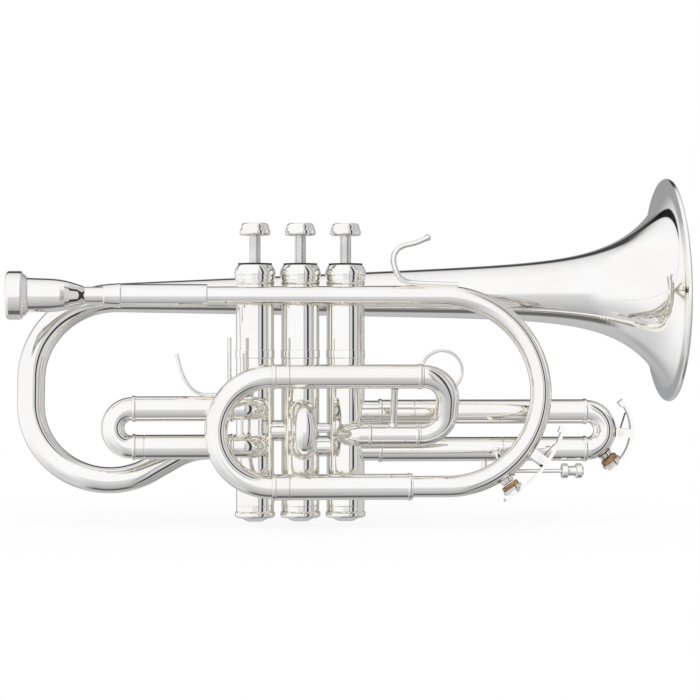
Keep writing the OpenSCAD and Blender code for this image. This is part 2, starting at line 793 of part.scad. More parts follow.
// Centre line of the shepherd's crook, drawn flat: x along the bell, w down from its axis
crook_up_r = 47.4;
crook_low_r = 43.6;
crook_drop = 14.2;
crook_turn = 30;
crook_tail_w = crook_up_r + crook_drop;
crook_back_r = 40;
tail_z = bell_z - bell_len * sin(bell_rise);
tail_x = bell_reach - bell_len * cos(bell_rise);
crook_end_w = sqrt(pow(tail_z - exit_z, 2) + pow(bell_y, 2));
crook_sweep_lean = asin(bell_y / crook_end_w);
crook_low_w = crook_tail_w + crook_low_r * cos(crook_turn);
crook_ramp = (crook_low_w - crook_end_w - crook_back_r * (1 - cos(crook_turn))) / sin(crook_turn);
crook_low_x = tail_x - crook_up_r + crook_low_r;
crook_ramp_x = crook_low_x + crook_low_r * sin(crook_turn);
crook_back_x = crook_ramp_x + crook_ramp * cos(crook_turn);
crook_level_x = crook_back_x + crook_back_r * sin(crook_turn);
crook_mouth_d = slide_od;
crook_sides = 24;

// Each entry is [x, w, heading]: heading 0 runs to -X and heading 90 runs down
crook_line = concat(
    [for (a = [0:6:90]) [tail_x - crook_up_r * sin(a), crook_up_r * (1 - cos(a)), a]],
    [for (a = [0:6:90 + crook_turn])
        [crook_low_x - crook_low_r * cos(a), crook_tail_w + crook_low_r * sin(a), 90 + a]],
    [for (a = [0:6:crook_turn])
        [crook_level_x - crook_back_r * sin(crook_turn - a),
         crook_end_w + crook_back_r * (1 - cos(crook_turn - a)), 180 + crook_turn - a]],
    [[valve_1_x - casing_bore / 2, crook_end_w, 180]]
);

crook_up = [0, -cos(crook_sweep_lean), sin(crook_sweep_lean)];

function crook_point(p) =
    [p[0], bell_y - p[1] * sin(crook_sweep_lean), tail_z - p[1] * cos(crook_sweep_lean)];

// One wall of the crook: rings of points about the centre line, narrowing to the valve
function crook_wall(inset) = [for (i = [0:len(crook_line) - 1])
    let (p = crook_line[i], out = crook_point([sin(p[2]), cos(p[2])]) - crook_point([0, 0]),
        d = crook_tail_d + (crook_mouth_d - crook_tail_d) * i / (len(crook_line) - 1))
    each ring_points(crook_point(p), out, crook_up, d / 2 - inset, crook_sides)];

module bell_crook() {
    n = len(crook_line);
    k = crook_sides;
    walls = concat(crook_wall(0), crook_wall(bell_wall));
    // The second wall's faces are wound the other way, and the two ends are ringed over
    faces = concat(
        [for (j = [0:n - 2], i = [0:k - 1]) each [
            [j * k + i, (j + 1) * k + i, j * k + (i + 1) % k],
            [j * k + (i + 1) % k, (j + 1) * k + i, (j + 1) * k + (i + 1) % k],
            [(n + j) * k + i, (n + j) * k + (i + 1) % k, (n + j + 1) * k + i],
            [(n + j) * k + (i + 1) % k, (n + j + 1) * k + (i + 1) % k, (n + j + 1) * k + i]
        ]],
        [for (i = [0:k - 1]) each [
            [i, (i + 1) % k, n * k + i],
            [(i + 1) % k, n * k + (i + 1) % k, n * k + i],
            [(n - 1) * k + i, (2 * n - 1) * k + i, (n - 1) * k + (i + 1) % k],
            [(n - 1) * k + (i + 1) % k, (2 * n - 1) * k + i, (2 * n - 1) * k + (i + 1) % k]
        ]]
    );
    color(silver) difference() {
        polyhedron(walls, faces);
        translate([valve_1_x, 0, 0]) cylinder(h = casing_z1, d = casing_d + 2 * eps);
    }
}

// ---- Hook, braces and water keys ----

hook_w = 6;
hook_t = 2.8;
hook_x = 50.1;

// A flat strap soldered on the leadpipe that curls up for the little finger
module pinky_hook() {
    z0 = leadpipe_z + leadpipe_d_end / 2 - 0.2;
    strap = [[34, 0.2], [12, 0.9], [4, 3.4], [0.4, 9], [-0.4, 15], [1.4, 20.2], [5.6, 23], [12.4, 24.8], [19, 27.2]];
    color(silver) translate([hook_x, leadpipe_y + hook_w / 2, z0]) rotate([90, 0, 0])
        linear_extrude(hook_w) for (i = [0:len(strap) - 2]) hull() {
            translate(strap[i]) circle(d = i == 0 ? 1.4 : hook_t, $fn = 20);
            translate(strap[i + 1]) circle(d = hook_t, $fn = 20);
        }
}

// A straight round stay from point a to point b
module stay(a, b, d) {
    way = b - a;
    len = norm(way);
    translate(a) rotate([0, acos(way[2] / len), atan2(way[1], way[0])]) cylinder(h = len, d = d);
}

brace_x = 49.4;
stay_d = 3.6;
stay_sink = 0.4;

function crook_centre(x) =
    let (drop = sqrt(pow(crook_r, 2) - pow(x - crook_x, 2)))
    [x, crook_mid_y - drop * sin(crook_lean), crook_mid_z - drop * cos(crook_lean)];

function bell_axis_z(x) = bell_z - (bell_reach - x) * tan(bell_rise);

// A stay between two tubes given by points on their axes and their radii
module tube_stay(a, ra, b, rb, d) {
    way = unit(b - a);
    stay(a + (ra - stay_sink) * way, b - (rb - stay_sink) * way, d);
}

// Stays between the fixed tubes, each reaching a little into the tubes that it joins
module braces() {
    low_x = third_low_seam - 4;
    casing_r = casing_d / 2;
    color(silver) {
        tube_stay([brace_x, tuning_y, tuning_top_z], tuning_top_od / 2,
            [brace_x, front_y, entry_z], entry_od / 2, stay_d);
        tube_stay([low_x, 0, third_low_z], slide_od / 2, crook_centre(low_x), crook_od / 2, stay_d);
        for (x = [0, valve_3_x]) {
            tube_stay([x, tuning_y, tuning_top_z], tuning_top_od / 2, [x, 0, tuning_top_z], casing_r, stay_d);
            tube_stay([x, tuning_y, tuning_low_z], tuning_low_od / 2, [x, 0, tuning_low_z], casing_r, stay_d);
        }
        for (x = [valve_1_x, valve_3_x]) {
            tube_stay([x, bell_y, bell_axis_z(x)], bell_radius(bell_reach - x),
                [x, 0, bell_axis_z(x)], casing_r, stay_d + 1);
            tube_stay([x, leadpipe_y, leadpipe_z], leadpipe_d_start / 2 + 0.1,
                [x, 0, leadpipe_z], casing_r, stay_d + 1);
        }
    }
}

// Water keys, drawn flat round a bow of centre-line radius 0 at the origin: x runs outward
// through the pivot, and angles turn round the bow's centre. Each key is
// [bow radius, bow diameter, pivot height, pad angle, lever radius, finger end angle].
key_w = 6.4;
key_pin_d = 2;
ear_t = 1.2;
nipple_d = 6.4;
nipple_h = 2.5;
cork_d = 9.8;
cork_h = 3.8;
cork_sunk = 1;
cup_wall = 0.8;
lever_t = 1.8;
lever_stem_d = 8;
pivot_d = 3.4;
pad_half = 2.6;
spring_t = 0.4;
spring_len = 9;
spring_room = 0.4;
lever_w = 5.6;
main_key = [crook_r, crook_od, 6.6, -20, 68.5, 19];
third_key = [slide_bow_r, bow_od, 3.6, -47, 26.6, 45];
main_key_turn = -36.6;
third_key_turn = -4.6;

module main_key_place() {
    upright(crook_x, crook_mid_y, crook_mid_z, crook_lean) rotate([0, 0, main_key_turn]) children();
}

module third_key_place() {
    upright(third_bow_x, 0, third_top_z - slide_bow_r) rotate([0, 0, third_key_turn]) children();
}

// Surface of the bow that a key stands on, and the radius of the key's pivot
function key_foot(k) = k[0] + k[1] / 2;
function key_pivot(k) = key_foot(k) + k[2];

// An arc of strap about the origin: from angle a to b, outer radius r, thickness t and width w
module strap_arc(r, a, b, t, w) {
    rotate([0, 0, a]) rotate_extrude(angle = b - a) translate([r - t, -w / 2]) square([t, w]);
}

module key_saddle(k) {
    difference() {
        union() {
            rotate([0, 0, k[3]]) translate([key_foot(k) - stay_sink, 0, 0]) rotate([0, 90, 0])
                cylinder(h = nipple_h + stay_sink, d1 = nipple_d + 2, d2 = nipple_d);
            translate([key_foot(k) - stay_sink, -pad_half, -key_w / 2])
                cube([k[2] + stay_sink, 2 * pad_half, key_w]);
            translate([key_pivot(k), 0, -key_w / 2]) cylinder(h = key_w, d = pivot_d);
        }
        rotate([0, 0, k[3]]) translate([k[0], 0, 0]) rotate([0, 90, 0])
            cylinder(h = 3 * nipple_h + k[1], d = 3);
        translate([0, 0, -key_w]) cylinder(h = 2 * key_w, r = key_foot(k) - stay_sink);
    }
    translate([key_pivot(k), 0, -key_w / 2 - ear_t - 1])
        cylinder(h = key_w + 2 * ear_t + 2, d = key_pin_d);
}

module key_lever(k) {
    cup_r = key_foot(k) + nipple_h + joint_gap + cork_h + cup_wall;
    lever_r = k[4];
    ear_z = key_w / 2 + joint_gap;
    pin_gap = slide_gap;
    strap_arc(lever_r, k[3] - 6, k[5], lever_t, lever_w);
    rotate([0, 0, k[5]]) translate([lever_r - lever_t - 1.4, -3.4, -2.6]) cube([1.8, 3.6, 5.2]);
    rotate([0, 0, k[3]]) translate([cup_r - cup_wall, 0, 0]) rotate([0, 90, 0])
        cylinder(h = lever_r - cup_r + cup_wall - lever_t / 2, d = lever_stem_d);
    rotate([0, 0, k[3]]) translate([cup_r - cup_wall - cork_sunk, 0, 0]) rotate([0, 90, 0]) difference() {
        cylinder(h = cork_sunk + cup_wall, d1 = cork_d + 2 * cup_wall, d2 = cork_d + cup_wall);
        translate([0, 0, -eps]) cylinder(h = cork_sunk + eps, d = cork_d + 2 * eps);
    }
    translate([lever_r - lever_t, -2.4, -ear_z - ear_t]) cube([lever_t, 4.8, 2 * ear_z + 2 * ear_t]);
    for (s = [-1, 1]) translate([0, 0, s > 0 ? ear_z : -ear_z - ear_t]) difference() {
        union() {
            translate([key_pivot(k), 0, 0]) cylinder(h = ear_t, d = 4.8);
            translate([key_pivot(k), -2.4, 0]) cube([lever_r - key_pivot(k) - 0.2, 4.8, ear_t]);
        }
        translate([key_pivot(k), 0, -1]) cylinder(h = ear_t + 2, d = key_pin_d + 2 * pin_gap);
    }
}

module key_cork(k) {
    cork_r = key_foot(k) + nipple_h + joint_gap;
    rotate([0, 0, k[3]]) translate([cork_r, 0, 0]) rotate([0, 90, 0]) {
        cylinder(h = 0.6, d1 = cork_d - 1, d2 = cork_d);
        translate([0, 0, 0.6]) cylinder(h = cork_h - 0.6 - eps, d = cork_d);
    }
}

// A leaf of spring steel, from the side of the saddle to just below the finger end of the lever
module key_spring(k) {
    start_r = key_pivot(k) - 0.9;
    end_y = pad_half + spring_len;
    end_r = sqrt(pow(k[4] - lever_t, 2) - pow(end_y, 2)) - spring_room;
    lean = atan((end_r - start_r) / spring_len);
    translate([start_r, pad_half + eps, -1.4]) rotate([0, 0, 90 - lean]) cube([spring_len, spring_t, 2.8]);
}

module key_saddle_main() { color(silver) main_key_place() key_saddle(main_key); }
module key_lever_main() { color(silver) main_key_place() key_lever(main_key); }
module key_cork_main() { color("sienna") main_key_place() key_cork(main_key); }
module key_spring_main() { color("dimgray") main_key_place() key_spring(main_key); }
module key_saddle_third() { color(silver) third_key_place() key_saddle(third_key); }
module key_lever_third() { color(silver) third_key_place() key_lever(third_key); }
module key_cork_third() { color("sienna") third_key_place() key_cork(third_key); }
module key_spring_third() { color("dimgray") third_key_place() key_spring(third_key); }

mouthpiece();
receiver();
leadpipe();
main_crook();
tuning_outer_lower();
tuning_outer_upper();
return_bow();
return_leg();
ferrule_rings();
tuning_bow();
tuning_legs();
casing_1();
casing_2();
casing_3();
top_caps();
bottom_caps();
cap_felts();
valve_guides();
piston_1();
piston_2();
piston_3();
valve_spring_1();
valve_spring_2();
valve_spring_3();
stem_1();
stem_2();
stem_3();
button_1();
button_2();
button_3();
finger_inlay_1();
finger_inlay_2();
finger_inlay_3();
valve_links();
first_outer();
first_bow();
first_legs();
thumb_saddle();
second_outer();
second_bow();
second_legs();
third_outer();
third_bow();
third_legs();
finger_ring();
stop_rod();
stop_nut();
bell();
bell_crook();
pinky_hook();
braces();
key_saddle_main();
key_saddle_third();
key_lever_main();
key_lever_third();
key_cork_main();
key_cork_third();
key_spring_main();
key_spring_third();
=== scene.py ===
import math

import bmesh
import bpy
from mathutils import Matrix, Vector


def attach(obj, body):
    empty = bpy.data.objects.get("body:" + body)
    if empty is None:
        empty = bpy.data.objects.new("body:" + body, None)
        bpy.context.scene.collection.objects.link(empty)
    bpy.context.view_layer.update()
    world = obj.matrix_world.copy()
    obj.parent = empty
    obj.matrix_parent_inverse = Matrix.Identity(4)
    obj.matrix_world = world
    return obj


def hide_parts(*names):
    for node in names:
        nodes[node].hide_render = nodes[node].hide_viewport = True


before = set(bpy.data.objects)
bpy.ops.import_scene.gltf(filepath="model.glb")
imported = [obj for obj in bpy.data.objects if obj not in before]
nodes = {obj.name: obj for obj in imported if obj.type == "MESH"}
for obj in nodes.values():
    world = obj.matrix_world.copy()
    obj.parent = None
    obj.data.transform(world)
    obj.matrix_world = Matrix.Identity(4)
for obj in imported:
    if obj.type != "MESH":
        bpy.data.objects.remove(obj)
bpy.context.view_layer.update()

# ---------------------------------------------------------------------------
# Silver plate. The whole instrument is brass, buffed bright and then plated
# with silver, so it mirrors the room with only a faint haze from handling.
# ---------------------------------------------------------------------------


def shader_of(material):
    return next(n for n in material.node_tree.nodes if n.type == "BSDF_PRINCIPLED")


def metal(name, colour, roughness, tarnish, haze_scale=22.0, grain=0.0):
    """A metal whose tint drifts to a warmer tarnish and whose polish varies in soft clouds."""
    material = bpy.data.materials.new(name)
    material.use_nodes = True
    tree = material.node_tree
    shader = shader_of(material)
    shader.inputs["Metallic"].default_value = 1.0
    where = tree.nodes.new("ShaderNodeTexCoord")
    clouds = tree.nodes.new("ShaderNodeTexNoise")
    clouds.inputs["Scale"].default_value = haze_scale
    clouds.inputs["Detail"].default_value = 5.0
    tree.links.new(where.outputs["Object"], clouds.inputs["Vector"])
    tint = tree.nodes.new("ShaderNodeValToRGB")
    tint.color_ramp.elements[0].position = 0.35
    tint.color_ramp.elements[0].color = (*tarnish, 1)
    tint.color_ramp.elements[1].position = 0.62
    tint.color_ramp.elements[1].color = (*colour, 1)
    tree.links.new(clouds.outputs["Fac"], tint.inputs["Fac"])
    tree.links.new(tint.outputs["Color"], shader.inputs["Base Color"])
    polish = tree.nodes.new("ShaderNodeMapRange")
    polish.inputs["To Min"].default_value = roughness * 0.7
    polish.inputs["To Max"].default_value = roughness * 1.6
    tree.links.new(clouds.outputs["Fac"], polish.inputs["Value"])
    tree.links.new(polish.outputs["Result"], shader.inputs["Roughness"])
    if grain:
        lines = tree.nodes.new("ShaderNodeTexNoise")
        lines.inputs["Scale"].default_value = 900.0
        lines.inputs["Detail"].default_value = 2.0
        bump = tree.nodes.new("ShaderNodeBump")
        bump.inputs["Strength"].default_value = grain
        bump.inputs["Distance"].default_value = 0.0001
        tree.links.new(where.outputs["Object"], lines.inputs["Vector"])
        tree.links.new(lines.outputs["Fac"], bump.inputs["Height"])
        tree.links.new(bump.outputs["Normal"], shader.inputs["Normal"])
    return material


silver = metal("silver_plate", (0.97, 0.948, 0.9), 0.035, (0.955, 0.92, 0.855))


def dress(obj, material):
    obj.data.materials.clear()
    obj.data.materials.append(material)
    return obj


def finish_piece(bm, name, body, material, slot, *stands_for, smooth=40):
    """Turns a bmesh into a shaded piece that rides on a body and stands for CAD nodes."""
    bmesh.ops.remove_doubles(bm, verts=bm.verts, dist=2e-6)
    bmesh.ops.recalc_face_normals(bm, faces=bm.faces)
    mesh = bpy.data.meshes.new(name)
    bm.to_mesh(mesh)
    bm.free()
    obj = bpy.data.objects.new(name, mesh)
    bpy.context.scene.collection.objects.link(obj)
    for polygon in mesh.polygons:
        polygon.use_smooth = True
    mesh.set_sharp_from_angle(angle=math.radians(smooth))
    dress(obj, material)
    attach(obj, body)
    if stands_for:
        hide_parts(*stands_for)
    return obj


def mm(x, y, z):
    return Vector((x, y, z)) / 1000


def held(outline, closed, long=2.5, hold=0.35):
    """Adds a point near each end of a long stretch, so that a soft corner doesn't shade it all."""
    kept = []
    count = len(outline)
    for i, here in enumerate(outline):
        kept.append(here)
        if i == count - 1 and not closed:
            break
        a, b = Vector(here), Vector(outline[(i + 1) % count])
        if (b - a).length > long:
            way = (b - a).normalized() * hold
            kept += [tuple(a + way), tuple(b - way)]
    return kept


def turned(bm, outline, place, steps=64, closed=True):
    """Spins an outline of (distance along, radius) points, in mm, round a line.

    place turns the spun shape, whose own axis is Z, into its place in the frame.
    """
    points = [bm.verts.new((r / 1000, 0, h / 1000)) for h, r in held(outline, closed)]
    edges = [bm.edges.new((a, b)) for a, b in zip(points, points[1:])]
    if closed:
        edges.append(bm.edges.new((points[-1], points[0])))
    made = bmesh.ops.spin(bm, geom=points + edges, cent=(0, 0, 0), axis=(0, 0, 1),
                          angle=math.tau, steps=steps, use_merge=True, use_duplicate=False)
    verts = {v for v in bm.verts if v.is_valid and not v.tag}
    bmesh.ops.transform(bm, matrix=place, verts=list(verts))
    for v in verts:
        v.tag = True
    return verts


def along(point, direction):
    """The placing of a spun shape: its foot at point (mm) and its axis along direction."""
    turn = Vector(direction).to_track_quat("Z", "Y").to_matrix().to_4x4()
    return Matrix.Translation(mm(*point)) @ turn


def rounded(outline, r=0.25, steps=3):
    """Softens the corners of an outline by cutting each one into a small arc."""
    soft = []
    count = len(outline)
    for i, here in enumerate(outline):
        before, after = Vector(outline[i - 1]), Vector(outline[(i + 1) % count])
        point = Vector(here)
        back, ahead = before - point, after - point
        if back.length < 1e-6 or ahead.length < 1e-6 or back.angle(ahead) > math.radians(165):
            soft.append(here)
            continue
        cut = min(r, back.length / 2.2, ahead.length / 2.2)
        a, b = point + back.normalized() * cut, point + ahead.normalized() * cut
        for k in range(steps + 1):
            t = k / steps
            soft.append(tuple(a * (1 - t) ** 2 + point * 2 * t * (1 - t) + b * t * t))
    return soft


# ---------------------------------------------------------------------------
# The mouthpiece. Turned from one bar of brass and plated: a round rim and cup,
# a thick tapering back and a thin shank that pushes into the receiver.
# ---------------------------------------------------------------------------

leadpipe_y, leadpipe_z = -16.95, 124.2
mouth_x, receiver_x = -160.5, -108.3
bm = bmesh.new()
mouth_outline = [
    (0.55, 9.6), (0.05, 10.6), (0, 11.3), (0.2, 12.1), (0.75, 12.8), (1.6, 13.2),
    (8.0, 13.2), (8.6, 12.9), (9.0, 12.2), (9.3, 11.5), (10.5, 10.95), (10.9, 10.3), (11.2, 9.75),
    (12.0, 9.5), (16, 9.35), (20, 9.25), (23, 9.15), (26, 8.95), (29, 8.6), (31.5, 8.15), (34, 7.55),
    (36.5, 6.8), (39, 6.05), (41, 5.3), (42.3, 4.7), (42.8, 4.62), (43.2, 4.75), (52.2, 4.75),
    (73.2, 4.225), (73.2, 3.6), (60, 2.9), (45, 2.3), (24, 1.85), (17, 1.85), (14, 2.25),
    (12.0, 4.0), (10, 5.3), (7.5, 6.6), (4.5, 7.7), (2, 8.3), (1.1, 8.75),
]
turned(bm, mouth_outline, along((mouth_x, leadpipe_y, leadpipe_z), (1, 0, 0)), 96)
finish_piece(bm, "mouthpiece_turned", "mouthpiece", silver, "silver_plate", "mouthpiece", smooth=50)

# ---------------------------------------------------------------------------
# The receiver and leadpipe. A turned collar and long sleeve are soldered over
# a drawn tube that widens slowly all the way to the main crook.
# ---------------------------------------------------------------------------

bm = bmesh.new()
receiver_outline = [
    (0, 4.85), (0, 5.6), (0.5, 5.95), (9.0, 6.75), (9.6, 6.6), (9.8, 6.32),
    (56.0, 6.28), (56.5, 6.0), (56.6, 4.95), (40, 4.95), (23.1, 4.95), (21, 4.3),
]
turned(bm, rounded(receiver_outline, 0.3), along((receiver_x, leadpipe_y, leadpipe_z), (1, 0, 0)), 96)
finish_piece(bm, "receiver_sleeve", "body", silver, "silver_plate", "receiver")

bm = bmesh.new()
pipe_outline = [(0, 4.95), (33.6, 4.95), (163.2, 5.85), (163.2, 5.25), (33.6, 4.35), (0, 4.35)]
turned(bm, pipe_outline, along((-85.3, leadpipe_y, leadpipe_z), (1, 0, 0)), 96)
finish_piece(bm, "leadpipe_tube", "body", silver, "silver_plate", "leadpipe")

# ---------------------------------------------------------------------------
# The main crook. A tapered tube filled, bent to a wide D and planished smooth,
# then soldered between the leadpipe and the lower tuning tube.
# ---------------------------------------------------------------------------


def bent(bm, start, side, up, stretches, radius, wall=0.55, ring=48, fine=2.5):
    """Sweeps a tube ring by ring with spin and extrude.

    start is the first ring's middle in mm. side is the direction of travel and up the
    direction that positive bends turn to. stretches holds ("run", length) and
    ("bend", centre-line radius, degrees) entries. radius is a number or a function of the
    way gone, from 0 to 1.
    """
    travel, toward = Vector(side).normalized(), Vector(up).normalized()
    total = sum(s[1] if s[0] == "run" else abs(s[1] * math.radians(s[2])) for s in stretches)
    size = radius if callable(radius) else (lambda t: radius)
    middle = Vector(start)
    gone = 0.0
    turn = Vector((0, 0, 1)).rotation_difference(travel).to_matrix().to_4x4()
    edges = {}
    for part, inset in (("outer", 0.0), ("inner", wall)):
        made = bmesh.ops.create_circle(bm, segments=ring, radius=(size(0) - inset) / 1000,
                                       matrix=Matrix.Translation(middle / 1000) @ turn)
        verts = made["verts"]
        edges[part] = list({e for v in verts for e in v.link_edges})
    first = {k: list(v) for k, v in edges.items()}

    def step(matrix, centre, before, after):
        for part, inset in (("outer", 0.0), ("inner", wall)):
            out = bmesh.ops.extrude_edge_only(bm, edges=edges[part])["geom"]
            verts = [g for g in out if isinstance(g, bmesh.types.BMVert)]
            edges[part] = [g for g in out if isinstance(g, bmesh.types.BMEdge)
                           and g.verts[0] in verts and g.verts[1] in verts]
            bmesh.ops.transform(bm, matrix=matrix, verts=verts)
            grow = (after - inset) / (before - inset)
            if abs(grow - 1) > 1e-9:
                for v in verts:
                    v.co = centre / 1000 + (v.co - centre / 1000) * grow

    for stretch in stretches:
        if stretch[0] == "run":
            length = stretch[1]
            count = 1 if not callable(radius) else max(1, round(length / 6))
            for _ in range(count):
                before = size(gone / total)
                gone += length / count
                middle = middle + travel * length / count
                step(Matrix.Translation(travel * length / count / 1000), middle, before, size(gone / total))
            continue
        r, angle = stretch[1], math.radians(stretch[2])
        count = max(4, round(abs(stretch[2]) / fine))
        axis = travel.cross(toward)
        if angle < 0:
            axis = -axis
        centre = middle + toward * (r if angle > 0 else -r)
        part_angle = abs(angle) / count
        spin = Matrix.Rotation(part_angle, 4, axis)
        place = Matrix.Translation(centre / 1000) @ spin @ Matrix.Translation(-centre / 1000)
        for _ in range(count):
            before = size(gone / total)
            gone += r * part_angle
            middle = centre + spin.to_3x3() @ (middle - centre)
            step(place, middle, before, size(gone / total))
        whole = Matrix.Rotation(abs(angle), 3, axis)
        travel, toward = whole @ travel, whole @ toward
    bmesh.ops.bridge_loops(bm, edges=first["outer"] + first["inner"])
    bmesh.ops.bridge_loops(bm, edges=edges["outer"] + edges["inner"])
    for v in bm.verts:
        v.tag = True


tuning_y, tuning_low_z, tuning_top_z = -33.5, 20.6, 80.2
lean = math.atan((leadpipe_y - tuning_y) / (leadpipe_z - tuning_low_z))
down = Vector((0, -math.sin(lean), -math.cos(lean)))
crook_r = (leadpipe_z - tuning_low_z) / math.cos(lean) / 2
bm = bmesh.new()
bent(bm, (77.9, leadpipe_y, leadpipe_z), (1, 0, 0), down,
     [("bend", crook_r, 180), ("run", 19.1)], 5.85, fine=2.0)
finish_piece(bm, "main_crook_tube", "body", silver, "silver_plate", "main_crook")

# ---------------------------------------------------------------------------
# The tuning slide. Two drawn outer tubes are soldered to the body, and a bow
# with two inner legs draws out of them towards the player.
# ---------------------------------------------------------------------------


def sleeve(bm, x0, x1, y, z, r, inner, soft=0.3):
    """A straight tube along X whose ends are rounded over."""
    outline = rounded([(0, inner), (0, r), (x1 - x0, r), (x1 - x0, inner)], soft)
    turned(bm, outline, along((x0, y, z), (1, 0, 0)), 64)


def band(bm, x, y, z, r, w=1.9, inner=None):
    """A ferrule: a narrow ring with a round back, standing proud of its tube."""
    high = 0.45
    inner = inner or r - 0.2
    outline = [(-w / 2, inner), (-w / 2, r + high * 0.4), (-w * 0.32, r + high * 0.9), (0, r + high),
               (w * 0.32, r + high * 0.9), (w / 2, r + high * 0.4), (w / 2, inner)]
    turned(bm, outline, along((x, y, z), (1, 0, 0)), 64)


low_r, top_r, bow_r = 7.1, 6.6, 6.35
bm = bmesh.new()
sleeve(bm, -7.95, 58.7, tuning_y, tuning_low_z, low_r, low_r - 0.5)
finish_piece(bm, "tuning_tube_lower", "body", silver, "silver_plate", "tuning_outer_lower")
bm = bmesh.new()
sleeve(bm, -7.95, 64.5, tuning_y, tuning_top_z, top_r, top_r - 0.5)
finish_piece(bm, "tuning_tube_upper", "body", silver, "silver_plate", "tuning_outer_upper")

tuning_bow_r = (tuning_top_z - tuning_low_z) / 2
bm = bmesh.new()
bent(bm, (-17.6, tuning_y, tuning_top_z), (-1, 0, 0), (0, 0, -1), [("bend", tuning_bow_r, 180)], bow_r)
finish_piece(bm, "tuning_bow_tube", "tuning_slide", silver, "silver_plate", "tuning_bow")

bm = bmesh.new()
for z, r in ((tuning_low_z, low_r), (tuning_top_z, top_r)):
    leg = r - 0.55
    outline = rounded([(0, leg - 0.5), (0, r + 0.35), (1.9, r + 0.35), (2.1, r), (9.5, r), (9.5, leg),
                       (58, leg), (58, leg - 0.5)], 0.25)
    turned(bm, outline, along((-17.55, tuning_y, z), (1, 0, 0)), 64)
finish_piece(bm, "tuning_legs_drawn", "tuning_slide", silver, "silver_plate", "tuning_legs")

# ---------------------------------------------------------------------------
# The return bow and entry leg. A tight bow brings the wind back from the
# tuning slide and a leg with an elbow carries it into the third valve.
# ---------------------------------------------------------------------------

front_y, entry_z = -19.2, 48.4
rise = tuning_top_z - entry_z
return_lean = math.atan((front_y - tuning_y) / rise)
fall = Vector((0, math.sin(return_lean), -math.cos(return_lean)))
straight = rise / math.cos(return_lean) - 2 * 13.9
bm = bmesh.new()
bent(bm, (64.65, tuning_y, tuning_top_z), (1, 0, 0), fall,
     [("bend", 13.9, 90), ("run", straight), ("bend", 13.9, 90)], bow_r)
finish_piece(bm, "return_bow_tube", "body", silver, "silver_plate", "return_bow")

bm = bmesh.new()
bent(bm, (25.1, -10.2, entry_z), (0, -1, 0), (1, 0, 0), [("run", 0.4), ("bend", 8.6, 90), ("run", 30.8)], 6.3)
for v in bm.verts:
    if v.co.y > -0.0103:
        v.co.y = -math.sqrt(10.45 ** 2 - (v.co.x * 1000 - 25.1) ** 2) / 1000
finish_piece(bm, "return_leg_tube", "body", silver, "silver_plate", "return_leg")

bm = bmesh.new()
band(bm, 56.9, tuning_y, tuning_low_z, low_r, inner=low_r + 0.01)
band(bm, 62.7, tuning_y, tuning_top_z, top_r, inner=top_r + 0.01)
band(bm, 62.7, front_y, entry_z, 6.3, inner=6.31)
band(bm, 36.7, front_y, entry_z, 6.3, inner=6.31)
finish_piece(bm, "tube_ferrules", "body", silver, "silver_plate", "ferrule_rings")

# ---------------------------------------------------------------------------
# The valve casings. Seamless tubes, bored and honed, with a raised band where
# the upper and lower halves meet and ports for the slides.
# ---------------------------------------------------------------------------

valve_x = {1: -25.1, 2: 0.0, 3: 25.1}


def meet_casing(bm, x, towards, reach, skin=10.45):
    """Shapes the ends of tubes to a casing: "X" tubes leave it sideways and "Y" tubes forwards."""
    for v in bm.verts:
        side, ahead = v.co.x * 1000 - x, v.co.y * 1000
        if towards == "X" and abs(side) < reach and abs(ahead) < skin:
            v.co.x = (x + math.copysign(math.sqrt(skin ** 2 - ahead ** 2), side)) / 1000
        elif towards == "Y" and ahead > -reach and abs(side) < skin:
            v.co.y = -math.sqrt(skin ** 2 - side ** 2) / 1000


for number, x in valve_x.items():
    bm = bmesh.new()
    skin = rounded([(5.4, 9.1), (5.4, 9.9), (8.6, 9.9), (8.6, 10.5), (90.1, 10.5), (90.2, 10.8), (94.5, 10.8),
                    (94.6, 10.5), (130.6, 10.5), (130.6, 9.9), (137, 9.9), (137, 9.45), (90.1, 9.45),
                    (90.1, 9.1)], 0.12)
    turned(bm, skin, along((x, 0, 0), (0, 0, 1)), 96)
    finish_piece(bm, f"casing_{number}_tube", "body", silver, "silver_plate", f"casing_{number}")

# ---------------------------------------------------------------------------
# The valve caps. Turned brass: a beaded top cap that tapers to the stem hole
# and a domed bottom cap with a flat nub underneath.
# ---------------------------------------------------------------------------

top_outline = [
    (0.02, 10.0), (0.02, 10.5), (0.3, 10.75), (2.0, 10.85), (2.15, 10.5), (2.5, 10.5), (2.65, 10.9), (4.5, 11.1),
    (4.65, 10.75), (4.95, 10.75), (5.1, 11.2), (5.7, 11.4), (7.0, 11.3), (8.2, 11.0), (9.4, 10.45), (10.4, 9.85),
    (11.0, 9.4), (11.3, 8.9), (11.3, 3.55), (6.4, 3.55), (6.4, 10.0),
]
bottom_outline = [
    (0.0, 0.0), (0.0, 4.3), (0.35, 4.9), (1.2, 6.6), (1.75, 7.5), (1.95, 9.6), (2.3, 10.5), (2.9, 11.0), (3.6, 11.15),
    (4.5, 11.1), (5.2, 10.85), (5.5, 10.5), (5.7, 10.35), (8.3, 10.5), (8.58, 10.4), (8.58, 9.95), (3.3, 9.95), (3.3, 0.0),
]
bm = bmesh.new()
for x in valve_x.values():
    turned(bm, top_outline, along((x, 0, 130.6), (0, 0, 1)), 96)
finish_piece(bm, "top_caps_turned", "body", silver, "silver_plate", "top_caps")
bm = bmesh.new()
for x in valve_x.values():
    turned(bm, bottom_outline, along((x, 0, 0), (0, 0, 1)), 96, closed=False)
finish_piece(bm, "bottom_caps_turned", "body", silver, "silver_plate", "bottom_caps")


